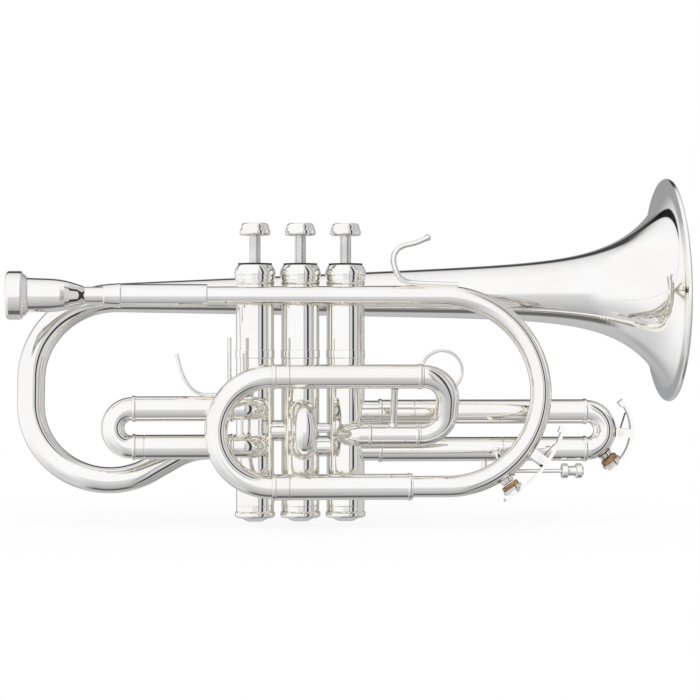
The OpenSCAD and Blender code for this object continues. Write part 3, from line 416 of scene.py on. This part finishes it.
def plain(name, colour, roughness, scale, depth):
    """A dull surface with a fine mottled grain, such as felt or cork."""
    material = bpy.data.materials.new(name)
    material.use_nodes = True
    tree = material.node_tree
    shader = shader_of(material)
    shader.inputs["Roughness"].default_value = roughness
    where = tree.nodes.new("ShaderNodeTexCoord")
    grain = tree.nodes.new("ShaderNodeTexNoise")
    grain.inputs["Scale"].default_value = scale
    grain.inputs["Detail"].default_value = 6.0
    mix = tree.nodes.new("ShaderNodeValToRGB")
    mix.color_ramp.elements[0].position = 0.38
    mix.color_ramp.elements[0].color = (*[c * 0.45 for c in colour], 1)
    mix.color_ramp.elements[1].position = 0.6
    mix.color_ramp.elements[1].color = (*colour, 1)
    bump = tree.nodes.new("ShaderNodeBump")
    bump.inputs["Strength"].default_value = 0.5
    bump.inputs["Distance"].default_value = depth
    tree.links.new(where.outputs["Object"], grain.inputs["Vector"])
    tree.links.new(grain.outputs["Fac"], mix.inputs["Fac"])
    tree.links.new(mix.outputs["Color"], shader.inputs["Base Color"])
    tree.links.new(grain.outputs["Fac"], bump.inputs["Height"])
    tree.links.new(bump.outputs["Normal"], shader.inputs["Normal"])
    return material


felt = plain("felt", (0.035, 0.035, 0.035), 0.95, 2500, 0.0002)
dress(nodes["cap_felts"], felt)

# ---------------------------------------------------------------------------
# The valve works. Honed nickel-alloy pistons with brass guides and steel coil
# springs run inside the casings, on dull plated stems.
# ---------------------------------------------------------------------------

piston_metal = metal("piston_metal", (0.72, 0.71, 0.68), 0.22, (0.62, 0.6, 0.56), 60, 0.2)
spring_steel = metal("spring_steel", (0.16, 0.16, 0.17), 0.3, (0.1, 0.09, 0.085), 200)
bare_brass = metal("bare_brass", (0.8, 0.6, 0.28), 0.25, (0.6, 0.42, 0.2), 120)
stem_metal = metal("stem_metal", (0.8, 0.79, 0.77), 0.2, (0.68, 0.66, 0.63), 90, 0.15)
dress(nodes["valve_guides"], bare_brass)
for number, x in valve_x.items():
    dress(nodes[f"piston_{number}"], piston_metal)
    dress(nodes[f"valve_spring_{number}"], spring_steel)
    bm = bmesh.new()
    stem_outline = [(136.4, 0.0), (136.4, 3.1), (157.3, 3.1), (158.0, 2.9), (158.0, 0.0)]
    turned(bm, stem_outline, along((x, 0, 0), (0, 0, 1)), 48, closed=False)
    finish_piece(bm, f"stem_{number}_rod", f"valve_{number}", stem_metal, "stem_metal", f"stem_{number}")

# ---------------------------------------------------------------------------
# The finger buttons. Turned caps with a stepped skirt, each holding a lightly
# domed inlay under the fingertip.
# ---------------------------------------------------------------------------

button_outline = [
    (158.0, 0.0), (158.0, 7.6), (158.2, 8.1), (158.7, 8.45), (159.4, 8.5), (160.6, 8.4), (161.2, 8.1), (161.5, 7.85),
    (162.6, 7.75), (163.6, 7.5), (164.3, 6.95), (164.6, 6.4), (164.55, 6.25), (163.0, 6.25), (163.0, 0.0),
]
inlay_outline = [(163.02, 0.0), (163.02, 6.2), (164.3, 6.2), (164.42, 5.6), (164.5, 3.5), (164.52, 0.0)]
for number, x in valve_x.items():
    bm = bmesh.new()
    turned(bm, button_outline, along((x, 0, 0), (0, 0, 1)), 64, closed=False)
    finish_piece(bm, f"button_{number}_cap", f"valve_{number}", silver, "silver_plate", f"button_{number}")
    bm = bmesh.new()
    turned(bm, inlay_outline, along((x, 0, 0), (0, 0, 1)), 64, closed=False)
    finish_piece(bm, f"button_{number}_inlay", f"valve_{number}", silver, "button_inlay", f"finger_inlay_{number}")

# ---------------------------------------------------------------------------
# The first slide. A short bow on two legs; its upper leg is a moving sleeve
# that carries a saddle for the thumb.
# ---------------------------------------------------------------------------

first_bow_x, slide_r, leg_r = -92.6, 6.8, 6.25
knuckle_x = -39.5
first_top_z, first_low_z = 62.7, 41.9
bm = bmesh.new()
for z in (first_top_z, first_low_z):
    bent(bm, (-25.1, -10.2, z), (0, -1, 0), (-1, 0, 0), [("run", 0.4), ("bend", 8.6, 90), ("run", 5.6)], 6.3)
    band(bm, knuckle_x + 0.95, front_y, z, slide_r, inner=5.9)
meet_casing(bm, -25.1, "Y", 10.3)
sleeve(bm, -85.9, knuckle_x + 0.2, front_y, first_low_z, slide_r, slide_r - 0.5)
sleeve(bm, -88.6, knuckle_x + 0.2, front_y, first_top_z, leg_r, leg_r - 0.5)
finish_piece(bm, "first_slide_tubes", "body", silver, "silver_plate", "first_outer")
bm = bmesh.new()
bent(bm, (first_bow_x, front_y, first_top_z), (-1, 0, 0), (0, 0, -1), [("bend", 10.4, 180)], bow_r, fine=3)
finish_piece(bm, "first_slide_bow", "first_slide", silver, "silver_plate", "first_bow")
bm = bmesh.new()
sleeve(bm, first_bow_x, knuckle_x - 0.3, front_y, first_top_z, slide_r, slide_r - 0.5)
sleeve(bm, first_bow_x, -86.2, front_y, first_low_z, slide_r, leg_r)
sleeve(bm, first_bow_x, -51.5, front_y, first_low_z, leg_r, leg_r - 0.5)
for z in (first_top_z, first_low_z):
    band(bm, first_bow_x + 0.95, front_y, z, slide_r, inner=5.9)
finish_piece(bm, "first_slide_legs", "first_slide", silver, "silver_plate", "first_legs")

# The thumb saddle: a flat strap of plated brass, bent to a wide U and soldered
# to the moving sleeve, with its edges eased so that it doesn't cut the thumb.


def strap(bm, points, width, thick, y, ease=0.45, smooth_steps=5, cut=None):
    """A bent flat strap: points are its middle line in (x, z) mm, smoothed by a spline.

    width lies along Y and may be a function of the way gone, from 0 to 1.
    """
    line = []
    ends = [points[0]] + list(points) + [points[-1]]
    for i in range(1, len(ends) - 2):
        a, b, c, d = (Vector(p) for p in ends[i - 1:i + 3])
        for k in range(smooth_steps):
            t = k / smooth_steps
            line.append(0.5 * (2 * b + (c - a) * t + (2 * a - 5 * b + 4 * c - d) * t ** 2
                               + (3 * b - a - 3 * c + d) * t ** 3))
    line.append(Vector(points[-1]))
    wide = width if callable(width) else (lambda t: width)
    rings = []
    for i, p in enumerate(line):
        ahead = (line[min(i + 1, len(line) - 1)] - line[max(i - 1, 0)]).normalized()
        up = Vector((-ahead.y, ahead.x))
        half = wide(i / (len(line) - 1)) / 2
        edge = min(ease, thick / 2.05)
        loop = []
        for s, n in ((-half, -thick / 2 + edge), (-half + edge, -thick / 2), (half - edge, -thick / 2),
                     (half, -thick / 2 + edge), (half, thick / 2 - edge), (half - edge, thick / 2),
                     (-half + edge, thick / 2), (-half, thick / 2 - edge)):
            q = p + up * n
            loop.append(bm.verts.new(mm(q.x, y + s, q.y)))
        rings.append([bm.edges.new((loop[k], loop[(k + 1) % len(loop)])) for k in range(len(loop))])
    for one, two in zip(rings, rings[1:]):
        bmesh.ops.bridge_loops(bm, edges=one + two)
    bmesh.ops.holes_fill(bm, edges=rings[0] + rings[-1], sides=0)
    for v in bm.verts:
        v.tag = True


saddle_line = [(-68.4, 92.5), (-67.2, 87.5), (-65.6, 82.2), (-63.2, 77.2), (-59.2, 72.5), (-54.4, 70.3), (-48, 70.2),
               (-43.2, 70.4), (-40.6, 73.2), (-39.9, 78), (-39.8, 86), (-39.8, 94), (-39.8, 101.3)]
bm = bmesh.new()
strap(bm, saddle_line, 10.4, 2.0, front_y, ease=0.9)
finish_piece(bm, "thumb_saddle_strap", "first_slide", silver, "silver_plate", "thumb_saddle", smooth=60)

# ---------------------------------------------------------------------------
# The second slide. The shortest of the three, pointing straight out to the
# player's right between the tuning tubes.
# ---------------------------------------------------------------------------

second_top_z, second_low_z = 61.1, 41.6


def sleeve_y(bm, y0, y1, z, r, inner):
    outline = rounded([(0, inner), (0, r), (y1 - y0, r), (y1 - y0, inner)], 0.3)
    turned(bm, outline, along((0, y0, z), (0, 1, 0)), 64)


bm = bmesh.new()
for z in (second_top_z, second_low_z):
    sleeve_y(bm, -24.7, -9.9, z, slide_r, slide_r - 0.5)
meet_casing(bm, 0, "Y", 10.3)
finish_piece(bm, "second_slide_tubes", "body", silver, "silver_plate", "second_outer")
bm = bmesh.new()
bent(bm, (0, -28.2, second_top_z), (0, -1, 0), (0, 0, -1), [("bend", 9.75, 180)], bow_r, fine=3)
finish_piece(bm, "second_slide_bow", "second_slide", silver, "silver_plate", "second_bow")
bm = bmesh.new()
for z in (second_top_z, second_low_z):
    sleeve_y(bm, -28.2, -12.0, z, leg_r, leg_r - 0.5)
    sleeve_y(bm, -28.2, -25.0, z, slide_r, leg_r)
finish_piece(bm, "second_slide_legs", "second_slide", silver, "silver_plate", "second_legs")

# ---------------------------------------------------------------------------
# The third slide. The longest, with a finger ring to throw it, and a rod and
# screwed stop nut that limit how far it goes.
# ---------------------------------------------------------------------------

third_bow_x, third_top_z, third_low_z = 160.0, 60.3, 39.5
third_knuckle, top_seam, low_seam = 45.2, 63.2, 112.7
bm = bmesh.new()
for z in (third_top_z, third_low_z):
    sleeve(bm, 34.9, third_knuckle, 0, z, 6.3, 5.3)
meet_casing(bm, 25.1, "X", 10.3)
for z in (third_top_z, third_low_z):
    band(bm, third_knuckle - 0.95, 0, z, slide_r, inner=5.9)
sleeve(bm, third_knuckle - 0.2, top_seam - 0.3, 0, third_top_z, slide_r, leg_r - 0.1)
sleeve(bm, third_knuckle - 0.2, third_bow_x - 4, 0, third_top_z, leg_r, leg_r - 0.5)
sleeve(bm, third_knuckle - 0.2, low_seam - 0.3, 0, third_low_z, slide_r, slide_r - 0.5)
finish_piece(bm, "third_slide_tubes", "body", silver, "silver_plate", "third_outer")
bm = bmesh.new()
bent(bm, (third_bow_x, 0, third_top_z), (1, 0, 0), (0, 0, -1), [("bend", 10.4, 180)], bow_r, fine=3)
finish_piece(bm, "third_slide_bow", "third_slide", silver, "silver_plate", "third_bow")
bm = bmesh.new()
sleeve(bm, top_seam, third_bow_x, 0, third_top_z, slide_r, slide_r - 0.5)
sleeve(bm, low_seam, third_bow_x, 0, third_low_z, slide_r, leg_r - 0.1)
sleeve(bm, third_knuckle + 12, third_bow_x, 0, third_low_z, leg_r, leg_r - 0.5)
for z in (third_top_z, third_low_z):
    band(bm, third_bow_x - 0.95, 0, z, slide_r, inner=5.9)
eye_outline = rounded([(0, 1.3), (0, 2.8), (3, 2.8), (3, 1.3)], 0.3)
turned(bm, eye_outline, along((116.7, 0, 27.1), (1, 0, 0)), 32)
turned(bm, [(0, 0), (0, 1.4), (3.4, 1.9), (3.4, 0)], along((118.2, 0, 29.7), (0, 0, 1)), 24, closed=False)
finish_piece(bm, "third_slide_legs", "third_slide", silver, "silver_plate", "third_legs")

bm = bmesh.new()
ring_outline = [(1.0 * math.sin(a), 11.3 + 0.8 * math.cos(a)) for a in (k * math.tau / 16 for k in range(16))]
turned(bm, ring_outline, along((78.9, 0, 82.9), (0, 1, 0)), 96)
turned(bm, [(0, 0), (0, 2.6), (0.8, 1.6), (2.4, 1.1), (4.9, 1.2), (4.9, 0)], along((78.9, 0, 66.8), (0, 0, 1)), 32, closed=False)
finish_piece(bm, "finger_ring_wire", "third_slide", silver, "silver_plate", "finger_ring")

bm = bmesh.new()
turned(bm, rounded([(0, 0), (0, 1.1), (54, 1.1), (54, 0)], 0.3), along((104.1, 0, 27.1), (1, 0, 0)), 32, closed=False)
turned(bm, rounded([(0, 0), (0, 1.9), (7, 1.6), (7, 0)], 0.3), along((102.6, 0, 26.0), (0, 0, 1)), 32, closed=False)
finish_piece(bm, "stop_rod_turned", "body", silver, "silver_plate", "stop_rod")
bm = bmesh.new()
nut_outline = [(0, 1.15), (0, 3.9), (0.3, 4.2), (2.9, 4.2), (3.2, 3.9), (3.3, 2.9), (5.5, 2.7), (7.9, 2.9), (8.0, 3.9),
               (8.3, 4.2), (10.9, 4.2), (11.2, 3.9), (11.3, 2.9), (12.2, 2.5), (12.2, 1.15)]
turned(bm, nut_outline, along((146.1, 0, 27.1), (1, 0, 0)), 48)
finish_piece(bm, "stop_nut_turned", "stop_nut", silver, "silver_plate", "stop_nut")

# ---------------------------------------------------------------------------
# The bell. Hammered and spun from one sheet of brass, thin all the way, with
# its rim rolled over a wire bead.
# ---------------------------------------------------------------------------

bell_x, bell_y, bell_z = 212.0, 25.5, 128.8
bell_rise = math.radians(0.9)
bell_len = bell_x + 101
flare, flare_len, lip, lip_len, tail_r = 39.2, 23.6, 6.3, 3.2, 8.1
cone_r = 63.5 - flare - lip
cone_slope = (cone_r - tail_r) / bell_len


def bell_radius(d):
    return cone_r - cone_slope * d + flare * math.exp(-d / flare_len) + lip * math.exp(-d / lip_len)


stations = [bell_len * (i / 90) ** 2.2 for i in range(91)]
outer = [(-d, bell_radius(d)) for d in reversed(stations) if d > 2.2]
inner = [(-d, bell_radius(d) - 0.6) for d in stations if d > 1.6]
bead = [(-0.825 + 1.5 * math.sin(a), 62.0 + 1.5 * math.cos(a))
        for a in (math.radians(t) for t in range(-70, 34, 6))]
face = [(0.0, 63.2), (0.0, 61.0)]
turn_in = [(-0.825 + 1.5 * math.sin(a), 62.0 + 1.5 * math.cos(a))
           for a in (math.radians(t) for t in range(147, 216, 8))]
bm = bmesh.new()
bell_axis = (math.cos(bell_rise), 0, math.sin(bell_rise))
turned(bm, outer + bead + face + turn_in + inner, along((bell_x, bell_y, bell_z), bell_axis), 160)
finish_piece(bm, "bell_spun", "body", silver, "silver_plate", "bell", smooth=35)

# ---------------------------------------------------------------------------
# The shepherd's crook. The bell's tail narrows as it is bent down, under and
# forward again to meet the first valve.
# ---------------------------------------------------------------------------

tail_x = bell_x - bell_len * math.cos(bell_rise)
tail_z = bell_z - bell_len * math.sin(bell_rise)
end_w = math.hypot(tail_z - 41.1, bell_y)
sweep = math.asin(bell_y / end_w)
low_w = 47.4 + 14.2 + 43.6 * math.cos(math.radians(30))
ramp = (low_w - end_w - 40 * (1 - math.cos(math.radians(30)))) / math.sin(math.radians(30))
level_x = (tail_x - 47.4 + 43.6 + 43.6 * math.sin(math.radians(30)) + ramp * math.cos(math.radians(30))
           + 40 * math.sin(math.radians(30)))
sink = Vector((0, -math.sin(sweep), -math.cos(sweep)))
bm = bmesh.new()
bent(bm, (tail_x, bell_y, tail_z), (-1, 0, 0), sink,
     [("bend", 47.4, 90), ("run", 14.2), ("bend", 43.6, 120), ("run", ramp), ("bend", 40, -30),
      ("run", -34.6 - level_x)],
     lambda t: 8.1 - 1.3 * t, wall=0.6, ring=64, fine=2.0)
finish_piece(bm, "bell_crook_tube", "body", silver, "silver_plate", "bell_crook")

# ---------------------------------------------------------------------------
# The finger hook and the stays. Flat and round wire, shaped by hand and
# soldered between the tubes.
# ---------------------------------------------------------------------------

hook_line = [(85.5, 130.3), (74, 130.7), (64, 131.1), (57.5, 132.0), (53.3, 134.6), (51.2, 139), (50.1, 144.5),
             (51.6, 148.9), (55.4, 151.6), (61.5, 153.1), (66, 154.8), (69.6, 156.6)]
bm = bmesh.new()
strap(bm, hook_line, lambda t: 5.0 + 1.2 * math.sin(math.pi * t), 2.8, leadpipe_y, ease=0.9)
tip = [(-1.9 * math.cos(a), 1.9 * math.sin(a)) for a in (k * math.pi / 12 for k in range(13))]
turned(bm, tip, along((68.9, leadpipe_y, 156.2), (1, 0, 0)), 32, closed=False)
finish_piece(bm, "finger_hook_strap", "body", silver, "silver_plate", "pinky_hook", smooth=60)


def stay(bm, a, ra, b, rb, r, foot=1.5):
    """A turned stay between two tubes, swelling to a small foot at each end."""
    a, b = Vector(a), Vector(b)
    way = (b - a).normalized()
    start, end = a + way * (ra - 0.3), b - way * (rb - 0.3)
    length = (end - start).length
    reach = min(1.8, length / 4)
    outline = [(0, 0), (0, r + foot), (reach * 0.3, r + foot * 0.75), (reach * 0.6, r + foot * 0.2), (reach, r),
               (length - reach, r), (length - reach * 0.6, r + foot * 0.2), (length - reach * 0.3, r + foot * 0.75),
               (length, r + foot), (length, 0)]
    turned(bm, outline, along(start, way), 40, closed=False)


def axis_z(x):
    return bell_z - (bell_x - x) * math.tan(bell_rise)


crook_drop = math.sqrt(crook_r ** 2 - (108.7 - 77.9) ** 2)
crook_at = (108.7, (leadpipe_y + tuning_y) / 2 - crook_drop * math.sin(lean),
            (leadpipe_z + tuning_low_z) / 2 - crook_drop * math.cos(lean))
bm = bmesh.new()
stay(bm, (49.4, tuning_y, tuning_top_z), top_r, (49.4, front_y, entry_z), 6.3, 1.9, 1.0)
stay(bm, (108.7, 0, third_low_z), slide_r, crook_at, 5.85, 1.9, 1.2)
for x in (0, 25.1):
    stay(bm, (x, tuning_y, tuning_top_z), top_r, (x, 0, tuning_top_z), 10.5, 1.9, 1.0)
    stay(bm, (x, tuning_y, tuning_low_z), low_r, (x, 0, tuning_low_z), 10.5, 1.9, 1.0)
for x in (-25.1, 25.1):
    stay(bm, (x, bell_y, axis_z(x)), bell_radius(bell_x - x), (x, 0, axis_z(x)), 10.5, 2.3, 0.8)
    stay(bm, (x, leadpipe_y, leadpipe_z), 5.05, (x, 0, leadpipe_z), 10.5, 2.4, 0.3)
finish_piece(bm, "stays_soldered", "body", silver, "silver_plate", "braces")
dress(nodes["valve_links"], silver)

# ---------------------------------------------------------------------------
# The water keys. Each is a bent lever on a saddle, sprung by a dark steel leaf
# so that its cork closes the nipple in the bow.
# ---------------------------------------------------------------------------

cork = plain("cork", (0.42, 0.25, 0.13), 0.8, 420, 0.0004)
for name in ("main", "third"):
    dress(nodes[f"key_cork_{name}"], cork)
    dress(nodes[f"key_spring_{name}"], spring_steel)
    for part in ("saddle", "lever"):
        dress(nodes[f"key_{part}_{name}"], silver)

# ---------------------------------------------------------------------------
# The studio: a pale floor, a white sky with the soft greys and dark gaps
# between its panels that polished silver shows, soft lamps and a camera.
# ---------------------------------------------------------------------------

backdrop = bpy.data.materials.new("pale_floor")
backdrop.use_nodes = True
tree = backdrop.node_tree
shader = shader_of(backdrop)
shader.inputs["Base Color"].default_value = (0.9, 0.9, 0.9, 1)
shader.inputs["Roughness"].default_value = 1.0
glow = tree.nodes.new("ShaderNodeEmission")
blend = tree.nodes.new("ShaderNodeMixShader")
where = tree.nodes.new("ShaderNodeTexCoord")
reach = tree.nodes.new("ShaderNodeVectorMath")
reach.operation = "LENGTH"
fade = tree.nodes.new("ShaderNodeMapRange")
fade.inputs["From Min"].default_value = 0.02
fade.inputs["From Max"].default_value = 0.35
fade.inputs["To Min"].default_value = 0.88
path = tree.nodes.new("ShaderNodeLightPath")
seen = tree.nodes.new("ShaderNodeMath")
seen.operation = "MULTIPLY"
tree.links.new(where.outputs["Object"], reach.inputs[0])
tree.links.new(reach.outputs["Value"], fade.inputs["Value"])
tree.links.new(fade.outputs["Result"], seen.inputs[0])
tree.links.new(path.outputs["Is Camera Ray"], seen.inputs[1])
tree.links.new(seen.outputs["Value"], blend.inputs["Fac"])
tree.links.new(shader.outputs["BSDF"], blend.inputs[1])
tree.links.new(glow.outputs["Emission"], blend.inputs[2])
tree.links.new(blend.outputs["Shader"], tree.nodes["Material Output"].inputs["Surface"])
bm = bmesh.new()
bmesh.ops.create_grid(bm, x_segments=1, y_segments=1, size=3.0, matrix=Matrix.Translation((0, 0, -0.002)))
mesh = bpy.data.meshes.new("floor")
bm.to_mesh(mesh)
bm.free()
floor = bpy.data.objects.new("floor", mesh)
bpy.context.scene.collection.objects.link(floor)
dress(floor, backdrop)
floor.visible_glossy = False

world = bpy.data.worlds.new("studio")
bpy.context.scene.world = world
world.use_nodes = True
tree = world.node_tree
background = tree.nodes["Background"]
where = tree.nodes.new("ShaderNodeTexCoord")
split = tree.nodes.new("ShaderNodeSeparateXYZ")
tree.links.new(where.outputs["Generated"], split.inputs["Vector"])


def math_node(operation, a, b=None):
    node = tree.nodes.new("ShaderNodeMath")
    node.operation = operation
    for socket, value in zip(node.inputs, (a, b)):
        if value is None:
            continue
        if isinstance(value, (int, float)):
            socket.default_value = value
        else:
            tree.links.new(value, socket)
    return node.outputs["Value"]


def panels(angle, stops):
    """A ring of light panels: stops are (degrees, brightness), from -180 to 180."""
    ramp = tree.nodes.new("ShaderNodeValToRGB")
    turn = math_node("ADD", math_node("DIVIDE", angle, math.tau), 0.5)
    tree.links.new(turn, ramp.inputs["Fac"])
    elements = ramp.color_ramp.elements
    for i, (degrees, level) in enumerate(stops):
        at = degrees / 360 + 0.5
        element = elements[i] if i < 2 else elements.new(at)
        element.position = at
        element.color = (level, level, level, 1)
    return ramp.outputs["Color"]


front = math_node("MULTIPLY", split.outputs["Y"], -1.0)
height_angle = math_node("ARCTAN2", split.outputs["Z"], front)
side_angle = math_node("ARCTAN2", split.outputs["X"], front)
over = panels(height_angle, [
    (-180, 0.35), (-160, 0.5), (-110, 0.55), (-101, 0.14), (-81, 0.14), (-76, 0.42), (-40, 0.6), (-14, 0.72),
    (-4, 1.0), (60, 1.0), (95, 0.92), (118, 0.8), (126, 0.6), (131, 0.06), (150, 0.06), (156, 0.35), (180, 0.35)])
around = panels(side_angle, [
    (-180, 0.35), (-158, 0.45), (-138, 0.9), (-120, 1.0), (14, 1.0), (15, 0.12), (21, 0.14), (22.5, 0.68),
    (36, 0.72), (37.5, 0.04), (48, 0.05), (50, 0.62), (66, 0.74), (71, 0.3), (80, 0.62), (130, 0.6), (146, 0.4),
    (180, 0.35)])


def graded(value, low, high, at_low, at_high):
    """Runs from at_low to at_high while value goes from low to high, and stays there outside."""
    node = tree.nodes.new("ShaderNodeMapRange")
    node.interpolation_type = "SMOOTHSTEP"
    tree.links.new(value, node.inputs["Value"])
    for socket, number in zip(("From Min", "From Max", "To Min", "To Max"), (low, high, at_low, at_high)):
        node.inputs[socket].default_value = number
    return node.outputs["Result"]


height = math_node("ARCSINE", split.outputs["Z"])
below = graded(height, math.radians(-50), math.radians(-8), 0.66, 1.0)
sideways = graded(math_node("ABSOLUTE", split.outputs["X"]), 0.2, 0.42, 0.0, 1.0)

# The one black gap behind the lights, which the bell's flare draws out to a crescent
gap_way = math_node("DIVIDE", math_node("SUBTRACT", math.radians(-124), side_angle), math.radians(40))
gap_height = math_node("ADD", math_node("MULTIPLY", gap_way, math.radians(18)), math.radians(15))
gap_half = math_node("MULTIPLY", math_node("MINIMUM", math_node("MAXIMUM", gap_way, 0.0), 0.6), math.radians(8))
gap_edge = math_node("SUBTRACT", gap_half, math_node("ABSOLUTE", math_node("SUBTRACT", height, gap_height)))
gap = graded(gap_edge, math.radians(-0.6), math.radians(0.9), 1.0, 0.02)


def mixed(mode, factor, a, b):
    node = tree.nodes.new("ShaderNodeMix")
    node.data_type = "RGBA"
    node.blend_type = mode
    for socket, value in (("Factor", factor), ("A", a), ("B", b)):
        if isinstance(value, float):
            node.inputs[socket].default_value = value
        else:
            tree.links.new(value, node.inputs[socket])
    return node.outputs["Result"]


sides = mixed("MULTIPLY", 1.0, mixed("MULTIPLY", 1.0, around, below), gap)
room = mixed("MIX", sideways, over, sides)
cool = tree.nodes.new("ShaderNodeMix")
cool.data_type = "RGBA"
cool.blend_type = "MULTIPLY"
cool.inputs["Factor"].default_value = 1.0
cool.inputs["B"].default_value = (0.985, 1.005, 1.06, 1)
tree.links.new(room, cool.inputs["A"])
path = tree.nodes.new("ShaderNodeLightPath")
shown = tree.nodes.new("ShaderNodeMix")
shown.data_type = "RGBA"
shown.inputs["A"].default_value = (0.62, 0.62, 0.62, 1)
tree.links.new(path.outputs["Is Glossy Ray"], shown.inputs["Factor"])
tree.links.new(cool.outputs["Result"], shown.inputs["B"])
seen = tree.nodes.new("ShaderNodeMix")
seen.data_type = "RGBA"
seen.inputs["B"].default_value = (1, 1, 1, 1)
tree.links.new(path.outputs["Is Camera Ray"], seen.inputs["Factor"])
tree.links.new(shown.outputs["Result"], seen.inputs["A"])
tree.links.new(seen.outputs["Result"], background.inputs["Color"])


def lamp(name, place, size, power):
    data = bpy.data.lights.new(name, "AREA")
    data.shape = "SQUARE"
    data.size = size
    data.energy = power
    obj = bpy.data.objects.new(name, data)
    bpy.context.scene.collection.objects.link(obj)
    obj.location = place
    aim = Vector((0.03, 0, 0.09)) - Vector(place)
    obj.rotation_euler = aim.to_track_quat("-Z", "Y").to_euler()
    obj.visible_glossy = False


lamp("key_softbox", (-0.5, -0.9, 1.1), 0.8, 8)
lamp("fill_softbox", (1.0, -0.7, 0.6), 0.8, 4)

camera_data = bpy.data.cameras.new("camera")
camera_data.sensor_width = 36.0
camera_data.lens = 36.0 * 2381 / 700
camera = bpy.data.objects.new("camera", camera_data)
bpy.context.scene.collection.objects.link(camera)
azimuth = math.radians(-4.7)
target = mm(27.57, 0, 94.6)
camera.location = target + Vector((math.sin(azimuth), -math.cos(azimuth), 0)) * 1.32
camera.rotation_euler = (target - camera.location).to_track_quat("-Z", "Y").to_euler()
bpy.context.scene.camera = camera

bpy.context.scene.view_settings.view_transform = "Standard"

bpy.context.view_layer.update()
